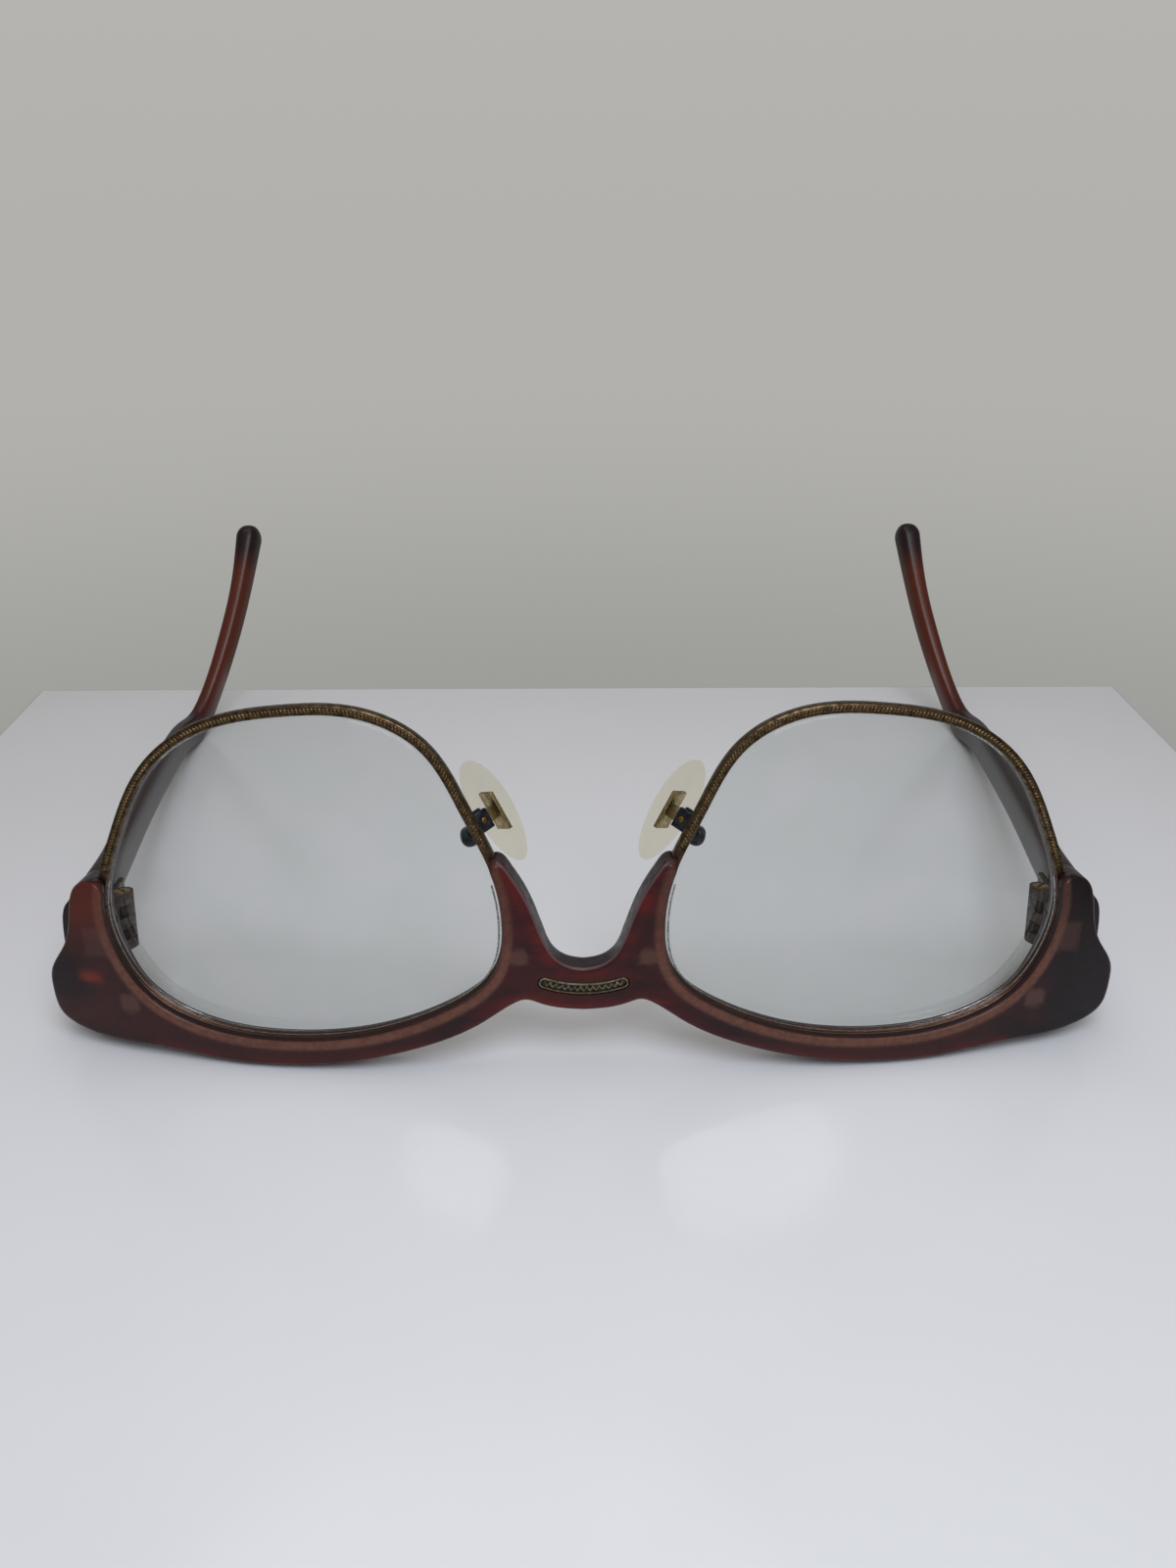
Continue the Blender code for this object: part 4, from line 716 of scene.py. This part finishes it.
# The hinge plate, with its corners cut.
def plateOutline(grow):
    left = eye["outer"] - 0.1 - grow
    right = left + hinge["plateWide"] + 2 * grow
    low, high = (hinge["height"] + s * (hinge["plateHigh"] / 2 + grow) for s in (-1, 1))
    c = hinge["corner"]
    return np.array([(left + c, low), (right - c, low), (right, low + c), (right, high - c),
                     (right - c, high), (left + c, high), (left, high - c), (left, low + c)])


# A curved bar with round ends.
def inlayOutline(grow, count=40):
    radius, wide, long = inlay["radius"], inlay["wide"], inlay["long"]
    reach = math.asin((long - wide) / 2 / radius)
    centre = (0.0, inlay["height"] + radius)

    def arc(r, start, end, n, hub=centre):
        a = np.linspace(start, end, n)
        return np.stack([hub[0] + r * np.sin(a), hub[1] - r * np.cos(a)], 1)

    def end(angle, start):
        hub = arc(radius, angle, angle, 1)[0]
        return arc(wide / 2 + grow, start, start + math.pi, 14, hub)[1:-1]

    return np.vstack([arc(radius + wide / 2 + grow, -reach, reach, count), end(reach, reach),
                      arc(radius - wide / 2 - grow, reach, -reach, count), end(-reach, math.pi - reach)])


inlay = {"long": 11.4, "wide": 1.65, "thick": 0.45, "radius": 13.6, "height": 10.3, "border": 0.26, "fit": 0.05}
ribGrain = {"Pitch": 0.38 * mm, "Long": 1.05 * mm, "Wide": 0.26 * mm, "High": 0.18 * mm,
            "Turn": math.radians(38), "Zigzag": 1.0}


def browCutters():
    cutters = []
    half, past = pocket["lockHalf"], pocket["past"]
    lock = patchOf(eyeSide(eyeFine[0][1], True), (rim["wide"] - 0.6, rim["wide"] + pocket["lockOut"]), (-half, half))
    plate = plateOutline(pocket["play"])
    for _, sign in sides:
        cutters.append(rimChannel(sign))
        cutters.append(forSide(slabParts([(lock, pocket["lockFrom"]), (lock, past)]), sign))
        cutters.append(forSide(slabParts([(plate, lambda x: browThick(x) - pocket["plateDeep"]), (plate, past)]), sign))
        for lug in lugs:
            x, v = lugScrew(lug)
            thick = float(browThick(x))
            bore = rodParts(onFace(x, v, thick + 2), onFace(x, v, thick - pocket["screwDeep"]), pocket["screwRadius"])
            cutters.append(forSide(bore, sign))
    recess = inlayOutline(inlay["fit"])
    cutters.append(slabParts([(recess, -1.0), (recess, inlay["thick"] + 0.1)]))
    return cutters


# Places of what the plastic shows, as (x, v), and ranges over which a mark fades in.
shown = {"plate": (61.3, 15.5), "plateHalf": (1.75, 2.0), "spot": (-62.8, 10.4), "corner": (-66.5, 10.0),
         "bridge": (9.0, 16.0), "amberUp": (14, 20), "amberOut": (50, 56), "amberSide": (16, 30), "darkOut": (56, 63)}


# What the plastic shows: the eyewire and the lugs through it, and a painted glow of light shining through where it is
# thin.
def browMarks(piece):
    x, v, depth = frontFrame(placesOf(piece.data))
    ax = np.abs(x)
    flat = np.stack([ax, v], 1)
    lens = nearest(flat, eyeFine)
    out = nearest(flat, browOutline())
    front = 1 - smoothStep(depth, 0.12, 0.5)
    tips = v < np.where(ax < eyeMiddle[0], brow["nasalTip"] + 1, brow["temporalTip"] + 1)
    # The band is strongest over the wire's middle, and weak on the nose side.
    wide = brow["bandWide"]
    band = front * tips * smoothStep(lens, -0.2, 0.5) * (1 - smoothStep(lens, wide - 0.3, wide + 0.3))
    band *= 0.5 + 0.45 * (1 - smoothStep(v, 12, 20))
    # A thin pale line, a painted highlight, where the front edge turns into the nose side.
    line = np.exp(-((depth - 0.26) / 0.11) ** 2) * (ax < 12) * (v > 12.5) * (lens > 1.5) * 0.6
    side = smoothStep(depth, 0.3, 0.8) * (1 - smoothStep(depth, browThick(x) - 0.9, browThick(x) - 0.3))
    patch = np.zeros(len(x))
    for lug in lugs:
        (px, pv), half = lugScrew(lug), lug["shows"]
        reach = (np.abs(ax - px) ** 3 + np.abs(v - pv) ** 3) ** (1 / 3)
        patch = np.maximum(patch, front * (1 - smoothStep(reach, half - 0.25, half + 0.15)) * 0.75)
    (px, pv), (halfWide, halfHigh) = shown["plate"], shown["plateHalf"]
    plate = np.maximum(np.abs(ax - px) / halfWide, np.abs(v - pv) / halfHigh)
    patch = np.maximum(patch, front * (1 - smoothStep(plate, 0.85, 1.1)) * 0.4)
    # The painted glow: light shining through the thin bridge and along the thin lower edge.
    bridge = 1 - smoothStep(ax, *shown["bridge"])
    lower = (1 - smoothStep(out, 0.3, 2.0)) * 0.5 * smoothStep(lens, 1.2, 1.9)
    painted_glow = np.clip(bridge * 0.38 + lower * (ax < 55), 0, 1)
    # The wearer's left endpiece is amber above and almost black at its outer corner; the right one is dark.
    amber = smoothStep(v, *shown["amberUp"]) * smoothStep(-x, *shown["amberOut"]) * 0.75
    amber = np.clip(amber + smoothStep(ax, *shown["amberSide"]) * 0.22, 0, 1)
    cx, cv = shown["corner"]
    corner = (1 - smoothStep(np.hypot((x - cx) / 5.5, (v - cv) / 5.0), 0.3, 1.0)) * 0.8
    black = np.maximum(smoothStep(x, *shown["darkOut"]) * 0.8, corner)
    sx, sv = shown["spot"]
    spot = np.exp(-(((x - sx) / 1.6) ** 4 + ((v - sv) / 0.8) ** 4)) * 0.75
    marks = {"band": band, "line": line, "side": side * 0.85, "patch": patch, "painted_glow": painted_glow * (1 - side), "black": black,
             "spot": spot * front, "amber": amber * front * (1 - smoothStep(x, *shown["amberOut"]))}
    for name, values in marks.items():
        setMark(piece.data, name, values)


def buildBrow():
    piece = meshOf("brow", *browSolid())
    carve(piece, browCutters())
    smoothen(piece, 40)
    browMarks(piece)
    wear(piece, "brow")
    hand(piece, "front", "brow_plastic", "brow_front")
    print("brow", len(piece.data.polygons))


buildBrow()


# Rows of small grains along a line, grown by geometry nodes

def grainTree():
    tree = bpy.data.node_groups.new("grainRow", "GeometryNodeTree")
    sizes = ("Pitch", "Long", "Wide", "High", "Turn", "Zigzag")
    for name, kind in (("Geometry", "Geometry"), *((size, "Float") for size in sizes), ("Material", "Material")):
        tree.interface.new_socket(name, in_out="INPUT", socket_type="NodeSocket" + kind)
    tree.interface.new_socket("Geometry", in_out="OUTPUT", socket_type="NodeSocketGeometry")
    given = node(tree, "NodeGroupInput").outputs
    line = node(tree, "GeometryNodeMeshToCurve", None, {"Mesh": given["Geometry"]}).outputs[0]
    line = node(tree, "GeometryNodeResampleCurve", {"mode": "LENGTH"}, {"Curve": line, "Length": given["Pitch"]})
    facing = node(tree, "GeometryNodeInputNamedAttribute", {"data_type": "FLOAT_VECTOR"}, {"Name": "facing"})
    tangent = node(tree, "GeometryNodeInputTangent")
    turn = node(tree, "FunctionNodeAlignRotationToVector", {"axis": "Z"}, {"Vector": facing.outputs[0]})
    turn = node(tree, "FunctionNodeAlignRotationToVector", {"axis": "X", "pivot_axis": "Z"},
                {"Rotation": turn.outputs[0], "Vector": tangent.outputs[0]})
    index = node(tree, "GeometryNodeInputIndex").outputs[0]
    # With Zigzag at 1, every other grain leans the other way.
    flip = maths(tree, "MULTIPLY", maths(tree, "MODULO", index, 2.0), given["Zigzag"])
    lean = maths(tree, "MULTIPLY", maths(tree, "MULTIPLY_ADD", flip, -2.0, 1.0), given["Turn"])
    spin = node(tree, "ShaderNodeCombineXYZ", None, {"Z": lean}).outputs[0]
    spin = node(tree, "FunctionNodeEulerToRotation", None, {0: spin}).outputs[0]
    turn = node(tree, "FunctionNodeRotateRotation", {"rotation_space": "LOCAL"},
                {"Rotation": turn.outputs[0], "Rotate By": spin})
    grain = node(tree, "GeometryNodeMeshUVSphere", None, {"Segments": 8, "Rings": 5, "Radius": 0.5})
    size = node(tree, "ShaderNodeCombineXYZ", None, {"X": given["Wide"], "Y": given["Long"], "Z": given["High"]})
    placed = node(tree, "GeometryNodeInstanceOnPoints", None, {
        "Points": line.outputs[0], "Instance": grain.outputs[0], "Rotation": turn.outputs[0],
        "Scale": size.outputs[0]})
    whole = node(tree, "GeometryNodeRealizeInstances", None, {"Geometry": placed.outputs[0]}).outputs[0]
    smooth = node(tree, "GeometryNodeSetShadeSmooth", None, {"Geometry": whole}).outputs[0]
    done = node(tree, "GeometryNodeSetMaterial", None, {"Geometry": smooth, "Material": given["Material"]})
    node(tree, "NodeGroupOutput", None, {"Geometry": done.outputs[0]})
    return tree


grainRow = grainTree()


# Plain mesh of grains along a line; facing is the way each one looks.
def grains(name, line, facing, settings, materialName):
    mesh = bpy.data.meshes.new(name)
    mesh.from_pydata([tuple(p) for p in line * mm], [(i, i + 1) for i in range(len(line) - 1)], [])
    layer = mesh.attributes.new("facing", "FLOAT_VECTOR", "POINT")
    layer.data.foreach_set("vector", np.asarray(facing, np.float32).ravel())
    made = linked(name, mesh)
    grow = made.modifiers.new("grow", "NODES")
    ids = {item.name: item.identifier for item in grainRow.interface.items_tree if item.in_out == "INPUT"}
    grow.node_group = grainRow
    for key, value in settings.items():
        grow[ids[key]] = value
    grow[ids["Material"]] = materials[materialName]
    return bake(made)


# Eyewires and lenses

lensCut = {"thick": 1.5, "clear": 0.2, "bevel": 0.45}
rimGrain = {"Pitch": 0.46 * mm, "Long": 0.74 * mm, "Wide": 0.36 * mm, "High": 0.18 * mm,
            "Turn": math.radians(-32), "Zigzag": 0.0}


# (out, depth) round the wire's section, with eased corners and the lens groove.
def rimProfile():
    w, c = rim["wide"], rim["corner"]
    front, rear = rim["setback"], rim["setback"] + rim["deep"]
    middle = (front + rear) / 2

    def corner(x, y, start):
        return [(x + c * math.cos(a), y + c * math.sin(a)) for a in np.linspace(start, start + math.pi / 2, 4)]

    half = rim["grooveWide"] / 2
    return (corner(w - c, rear - c, 0) + corner(c, rear - c, math.pi / 2)
            + [(0, middle + half), (rim["grooveDeep"], middle), (0, middle - half)]
            + corner(c, front + c, math.pi) + corner(w - c, front + c, 1.5 * math.pi))


def buildRim(side, sign):
    loop = naturalSpline([tuple(p) for p in eyeFine[::6]], 720, closed=True)
    whole = np.vstack([loop, loop[:1]])
    run = runOf(whole)
    wanted = np.linspace(rim["gap"] / 2, run[-1] - rim["gap"] / 2, 361)
    path = np.stack([np.interp(wanted, run, whole[:, k]) for k in (0, 1)], 1)
    out = np.gradient(path, axis=0)
    out = unit(np.stack([-out[:, 1], out[:, 0]], 1))
    out *= np.sign(np.sum(out * (path - np.array(eyeMiddle)), axis=1))[:, None]
    profile = np.array(rimProfile())
    rings = [onFace(p[0] + o[0] * profile[:, 0], p[1] + o[1] * profile[:, 0], profile[:, 1])
             for p, o in zip(path, out)]
    height = np.repeat(path[:, 1], len(profile))
    tips = np.where(path[:, 0] < eyeMiddle[0], brow["nasalTip"], brow["temporalTip"])
    covered = 1 - smoothStep(height - np.repeat(tips, len(profile)), -0.5, 0.3)
    piece = meshOf("eyewire_fine_" + side, *forSide(strips(rings), sign), {"covered": covered * 0.9})
    wear(piece, "antique_brass")
    hand(piece, "front", "antique_metal", "eyewire_" + side)
    # The rope runs where the brow leaves the wire bare.
    bare = path[:, 1] > tips + 0.6
    line = (path + out * rim["wide"] * 0.5)[bare]
    places = onFace(line[:, 0], line[:, 1], rim["setback"])
    ahead = onFace(line[:, 0], line[:, 1], rim["setback"] - 1.0) - places
    if sign < 0:
        places, ahead = places * mirror, ahead * mirror
    settings = dict(rimGrain, Turn=rimGrain["Turn"] * sign)
    # The rope's grains wear the paler plating, a painted highlight.
    rope = grains("rim_rope_" + side, places, ahead, settings, "pale_brass_highlight")
    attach(rope, "front")


def buildLens(side, sign):
    count, thick, middle = 240, lensCut["thick"], rim["setback"] + rim["deep"] / 2
    centre = np.array(eyeMiddle)
    edge = eyeCurve(count, -lensCut["clear"])
    apex = eyeCurve(count, rim["grooveDeep"] - lensCut["clear"])
    shares = [0.02, 0.12, 0.24, 0.36, 0.48, 0.60, 0.72, 0.84, 0.93, 0.990]
    loops = [(centre + (edge - centre) * s, middle - thick / 2) for s in shares]
    # Only the front bevel is frosted, and only where the brow hides the eyewire behind it.
    ground = len(loops) - 1
    bevel = lensCut["bevel"]
    loops += [(edge, middle - thick / 2 + 0.12), (edge, middle - bevel), (apex, middle), (edge, middle + bevel),
              (edge, middle + thick / 2 - 0.1)]
    loops += [(centre + (edge - centre) * s, middle + thick / 2) for s in reversed(shares)]
    rings = [onFace(loop[:, 0], loop[:, 1], depth) for loop, depth in loops]
    piece = meshOf("lens_fine_" + side, *forSide(strips(rings), sign))
    wear(piece, "lens", "lensEdge")
    for i, polygon in enumerate(piece.data.polygons):
        row = i // count
        polygon.material_index = 1 if row == ground and edge[i % count, 1] < brow["temporalTip"] else 0
    smoothen(piece, 20)
    hand(piece, "front", "lens_clear", "lens_" + side)


for side, sign in sides:
    buildRim(side, sign)
    buildLens(side, sign)
print("eyewires and lenses")


def buildInlay():
    border, fit = inlay["border"], inlay["fit"]
    outline = inlayOutline(-fit)
    layers = [(inlayOutline(-fit - border - 0.06), 0.16), (inlayOutline(-fit - border), 0.03),
              (inlayOutline(-fit - 0.08), 0.0), (outline, 0.10), (outline, inlay["thick"])]
    piece = meshOf("inlay_plate", *slabParts(layers))
    wear(piece, "engraved_brass", "inlay_bronze")
    count = len(outline)
    for i, polygon in enumerate(piece.data.polygons):
        polygon.material_index = 1 if count <= i < 3 * count else 0
    hand(piece, "front", "antique_metal", "bridge_inlay")
    reach = math.asin((inlay["long"] / 2 - 0.95) / inlay["radius"])
    turn = np.linspace(-reach, reach, 60)
    x, v = inlay["radius"] * np.sin(turn), inlay["height"] + inlay["radius"] * (1 - np.cos(turn))
    places = onFace(x, v, 0.14)
    ribs = grains("inlay_ribs", places, onFace(x, v, -1.0) - places, ribGrain, "inlay_bronze")
    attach(ribs, "front")


buildInlay()
print("inlay")


# Temples

temple = {"reach": 102.0, "thick": 3.2, "high": 6.0, "buttHigh": 10.8, "tipLong": 39.6,
          "tipRise": math.radians(49), "tipThick": 3.4, "tipHigh": 5.6, "inset": 0.15, "buttGap": 0.2, "around": 48}
pinBack = float(faceDepth(hinge["pin"], hinge["height"])) + face["endThick"] + hinge["pinBehind"]


# Middle of the temple at stations from front to tip, with its thickness and height there.
def templeStations(settle):
    butt = eye["outer"] + brow["reach"] - temple["inset"] - hinge["butt"] / 2
    reach, thick, high = temple["reach"], temple["thick"], temple["high"]
    run, rise = (temple["tipLong"] * f(temple["tipRise"]) for f in (math.cos, math.sin))
    hingeZ = hinge["height"] * math.cos(leanAngle) - pinBack * math.sin(leanAngle)
    bendZ = -stood[2] + high / 2 + settle
    wide, tall, tipT, tipH = hinge["butt"], temple["buttHigh"], temple["tipThick"], temple["tipHigh"]

    def down(share):
        return hingeZ + (bendZ - hingeZ) * share

    return [(butt, 8, hingeZ - 2.3, wide, tall), (butt, 12, hingeZ - 2, wide, tall * 0.97),
            (butt - 0.05, 17, hingeZ - 0.7, wide * 0.78, tall * 0.8),
            (butt + 0.3, 23, hingeZ - 0.2, thick * 1.12, high * 1.13),
            (butt + 1.8, 32, down(0.135), thick * 1.03, high * 1.04),
            (butt + 4.3, reach * 0.46, down(0.33), thick, high), (butt + 6.9, reach * 0.64, down(0.54), thick, high),
            (butt + 9.0, reach * 0.80, down(0.745), thick, high * 0.97),
            (butt + 10.1, reach * 0.93, down(0.925), thick * 1.02, high * 0.95),
            (butt + 9.7, reach, bendZ + 0.2, thick * 1.05, high * 0.93),
            (butt + 8.2, reach + run * 0.19, bendZ + rise * 0.12, tipT * 0.95, tipH),
            (butt + 5.4, reach + run * 0.45, bendZ + rise * 0.40, tipT, tipH),
            (butt + 3.2, reach + run * 0.74, bendZ + rise * 0.71, tipT * 1.05, tipH * 1.05),
            (butt + 2.0, reach + run, bendZ + rise, tipT * 1.34, tipH * 1.12)]


# A rounded box across the temple. The higher the power, the squarer it is.
def sectionAt(place, way, thick, high, count, power=2.9):
    way = unit(np.array([0.0, way[1], way[2]]))
    up = np.array([0.0, -way[2], way[1]])
    a = 2 * math.pi * (np.arange(count) + 0.5) / count
    x = np.sign(np.cos(a)) * np.abs(np.cos(a)) ** (2 / power) * thick / 2
    u = np.sign(np.sin(a)) * np.abs(np.sin(a)) ** (2 / power) * high / 2
    return place + x[:, None] * np.array([1.0, 0, 0]) + u[:, None] * up


def templeRings(settle, count, around):
    rows = naturalSpline(templeStations(settle), count)
    ways = np.gradient(rows[:, :3], axis=0)
    rings = [sectionAt(r[:3], w, r[3], r[4], around) for r, w in zip(rows, ways)]
    return rings, rows, ways


def buildTemple(side, sign):
    # The bend is let down until the temple's underside touches the floor.
    probe = templeRings(0.0, 27, 16)[0]
    settle = -stood[2] - min(p[2] for ring in probe for p in ring)
    around = temple["around"]
    rings, rows, ways = templeRings(settle, 200, around)
    last, way = len(rows) - 1, unit(ways[-1])
    for a in np.linspace(0.12, 1.0, 9) * math.pi / 2:
        share = max(math.cos(a), 0.04) ** 0.75
        end = rows[-1, :3] + way * math.sin(a) * temple["tipHigh"] * 0.45
        rings.append(sectionAt(end, way, rows[-1, 3] * share, rows[-1, 4] * share, around, 2.9 - 0.5 * math.sin(a)))
    runs = np.repeat(np.minimum(np.arange(len(rings)) / last, 1.0), around)
    a = 2 * math.pi * (np.arange(around) + 0.5) / around
    # The outward side of the section is darker in the ear tip.
    outer = np.tile(smoothStep(np.cos(a), 0.35, 0.85), len(rings)) * smoothStep(runs, 0.66, 0.74) * 0.8
    parts = forSide(strips([ring + stood for ring in rings]), sign)
    piece = meshOf("temple_fine_" + side, *parts, {"run": runs, "rim": outer})
    wear(piece, "temple")
    # The butt is cut to the curved back of the brow, so the cut's two long sides follow the curve.
    near, far = eye["outer"] + 1.5, eye["outer"] + brow["reach"] + 2
    heights = hinge["height"] + temple["buttHigh"] * np.linspace(-1.5, 1.5, 25)
    region = np.vstack([np.stack([np.full(25, near), heights], 1), np.stack([np.full(25, far), heights[::-1]], 1)])
    cut = slabParts([(region, -2 * temple["buttHigh"]), (region, lambda x: browThick(x) + temple["buttGap"])])
    carve(piece, [forSide(cut, sign)])
    line = rows[:, :3] + stood
    line[:, 0] *= sign
    closest = [int(np.argmin(np.linalg.norm(line - place, axis=1))) for place in placesOf(piece.data)]
    setMark(piece.data, "run", np.array(closest) / last)
    smoothen(piece, 40)
    hand(piece, side + "_temple", "temple_plastic", "temple_" + side, "temple_core_" + side)


for side, sign in sides:
    buildTemple(side, sign)
print("temples")


# Nose pads and their arms

pad = {"turned": math.radians(9), "long": 14.6, "wide": 8.0, "thick": 2.3, "out": 11.0, "height": 31.3, "back": 8.6,
       "tilt": math.radians(27), "splay": math.radians(32)}


# The pad's middle, and directions out of its face, across it and along it.
def padFrame():
    along = leaned(math.sin(pad["tilt"]), 0, math.cos(pad["tilt"]), False)
    plan = leaned(math.cos(pad["splay"]), -math.sin(pad["splay"]), 0, False)
    out = unit(plan - along * np.dot(plan, along))
    return onFace(pad["out"], pad["height"], pad["back"]), out, np.cross(along, out), along


def buildPad(side, sign):
    centre, out, across, along = padFrame()
    # The soft pad sits a little turned on its plate.
    c, t = math.cos(pad["turned"]), math.sin(pad["turned"])
    out, across = out * c - across * t, across * c + out * t
    a = turns(64)
    taper = 1 + 0.12 * np.sin(a)
    # Half thickness and half size from one flat side round the edge to the other.
    profile = [(1.0, 0.02), (1.0, 0.35), (0.98, 0.58), (0.9, 0.76), (0.72, 0.9), (0.4, 0.98), (0.1, 1.0),
               (-0.25, 0.955), (-0.55, 0.84), (-0.8, 0.66), (-0.94, 0.45), (-1.0, 0.25), (-1.01, 0.02)]
    profile = naturalSpline(profile, 30)
    rings = [centre + out * pad["thick"] / 2 * lift + across * np.cos(a) * pad["wide"] / 2 * share * taper
             + along * np.sin(a) * pad["long"] / 2 * share for lift, share in profile]
    piece = meshOf("nose_pad_fine_" + side, *forSide(strips(rings), sign))
    wear(piece, "pad")
    smoothen(piece, 60)
    hand(piece, side + "_pad", "pad_clear", "nose_pad_" + side)


# Behind is where it ends, past the pad's back.
arm = {"height": 29.3, "behind": 2.35, "radius": 0.45, "swell": 0.95, "turnsAt": 0.47}


def buildArm(side, sign):
    place, outward, _ = eyeSide(arm["height"], False)
    x, v = place + outward * rim["wide"] / 2
    centre, out, _, _ = padFrame()
    back = centre + out * (pad["thick"] / 2 + arm["behind"])
    rear = rim["setback"] + rim["deep"]
    route = naturalSpline([onFace(x, v, rear + 0.05), onFace(x + 0.35, v - 0.1, rear + 0.9),
                           onFace(x + 1.3, v - 0.3, rear + 1.9), onFace(x + 2.2, v, rear + 3.0),
                           back + out * 1.1, back - out * 0.05], 60)
    ways = np.gradient(route, axis=0)
    beside = np.array([0.3, 0.2, 1.0])
    rings = []
    # The wire swells into a soldered collar where it turns back.
    swell = arm["swell"] * np.exp(-((np.linspace(0, 1, len(route)) - arm["turnsAt"]) / 0.17) ** 2)
    a = turns(20)
    for p, w, thick in zip(route, unit(ways), arm["radius"] + swell):
        beside = unit(beside - w * np.dot(beside, w))
        rings.append(p + (beside * np.cos(a) + np.cross(w, beside) * np.sin(a)) * thick)
    piece = meshOf("pad_arm_fine_" + side, *forSide(strips(rings), sign))
    wear(piece, "gunmetal")
    hand(piece, "front", "dark_metal", "pad_arm_" + side)


for side, sign in sides:
    buildPad(side, sign)
    buildArm(side, sign)
print("pads")


# Small metal pieces, from the CAD's own shapes: node, body, material, eased edge
slotOf = {"antique_brass": "antique_metal", "gold_screw": "screw_gold", "hinge_steel": "hinge_steel",
          "gunmetal": "dark_metal", "pad_metal": "antique_metal"}
smallPieces = [
    ("rim_lock_upper", "front", "antique_brass", 0.08), ("rim_lock_lower", "front", "antique_brass", 0.08),
    ("rim_lock_screw", "front", "gold_screw", 0.06), ("nasal_lug", "front", "antique_brass", 0.06),
    ("temporal_lug", "front", "antique_brass", 0.06), ("nasal_screw", "front", "gold_screw", 0.06),
    ("temporal_screw", "front", "gold_screw", 0.06), ("front_hinge", "front", "hinge_steel", 0.05),
    ("front_rivet_low", "front", "hinge_steel", 0.06), ("front_rivet_high", "front", "hinge_steel", 0.06),
    ("hinge_screw", "front", "gold_screw", 0.06), ("temple_hinge", "temple", "hinge_steel", 0.05),
    ("temple_rivet_front", "temple", "hinge_steel", 0.06), ("temple_rivet_rear", "temple", "hinge_steel", 0.06),
    ("pad_box", "front", "gunmetal", 0.08), ("pad_screw", "front", "gold_screw", 0.05),
    ("pad_core", "pad", "pad_metal", 0.05)]
for base, body, metal, edge in smallPieces:
    for side, sign in sides:
        piece = refined(base + "_" + side, base + "_fine_" + side, edge)
        wear(piece, metal)
        hand(piece, body if body == "front" else side + "_" + body, slotOf[metal], base + "_" + side)
print("small pieces")


# Stage, light and camera

stage = {"wide": 233.0, "back": 62.0, "ahead": 300.0, "thick": 40.0, "round": 1.5}
# Fill is how strongly the wall lights the glasses.
wall = {"low": "#9c9c99", "middle": "#b2b1ad", "high": "#bbb8b5", "fill": 0.56}
lamps = {"overhead": {"place": (-40, 30, 420), "target": (0, -20, 0), "size": 320, "watts": 0.27, "colour": "#fff8ee"},
         "front": {"place": (40, -270, 330), "target": (0, -120, 0), "size": 260, "watts": 0.84, "colour": "#f1f5ff"}}
# The photo's viewing angle.
shot = {"place": (-0.825, -193.72, 106.44), "pitch": 63, "turn": -0.6, "lens": 29.25, "sensor": 36}


def buildStage():
    w, b, f, t = stage["wide"] / 2, stage["back"], -stage["ahead"], -stage["thick"]
    rings = [np.array([(-w, f, z), (w, f, z), (w, b, z), (-w, b, z)]) for z in (t, -0.02)]
    card = meshOf("card_box", *strips(rings))
    soft = card.modifiers.new("edges", "BEVEL")
    soft.width, soft.segments = stage["round"] * mm, 4
    bake(card)
    smoothen(card)
    wear(card, "floor")


def buildLamp(name, place, target, size, watts, colour):
    data = bpy.data.lights.new(name, "AREA")
    data.shape, data.size, data.energy, data.color = "DISK", size * mm, watts, paint(colour)[:3]
    made = linked(name, data)
    made.location = Vector(place) * mm
    made.rotation_euler = (Vector(target) - Vector(place)).to_track_quat("-Z", "Y").to_euler()


def buildWorld():
    world = bpy.data.worlds.new("studio")
    world.use_nodes = True
    tree = world.node_tree
    tree.nodes.clear()
    way = node(tree, "ShaderNodeTexCoord").outputs["Generated"]
    height = node(tree, "ShaderNodeSeparateXYZ", None, {0: way}).outputs["Z"]
    colour = blendColour(tree, ranged(tree, height, -0.42, -0.15), paint(wall["low"]), paint(wall["middle"]))
    colour = blendColour(tree, ranged(tree, height, -0.1, 0.3), colour, paint(wall["high"]))
    # The wall is as bright as the photo's to the camera, and a weaker fill to the glasses.
    seen = node(tree, "ShaderNodeLightPath").outputs["Is Camera Ray"]
    strength = ranged(tree, seen, 0.0, 1.0, (wall["fill"], 1.0))
    back = node(tree, "ShaderNodeBackground", None, {"Color": colour, "Strength": strength})
    node(tree, "ShaderNodeOutputWorld", None, {"Surface": back.outputs[0]})
    bpy.context.scene.world = world


buildStage()
buildWorld()
for name, settings in lamps.items():
    buildLamp(name, **settings)

camera = linked("camera", bpy.data.cameras.new("camera"))
camera.location = Vector(shot["place"]) * mm
camera.rotation_euler = (math.radians(shot["pitch"]), 0, math.radians(shot["turn"]))
camera.data.sensor_fit = "VERTICAL"
camera.data.sensor_height = camera.data.sensor_width = shot["sensor"]
camera.data.lens, camera.data.clip_start = shot["lens"], 0.005
bpy.context.scene.camera = camera
bpy.context.scene.view_settings.view_transform = "Standard"
print("stage")
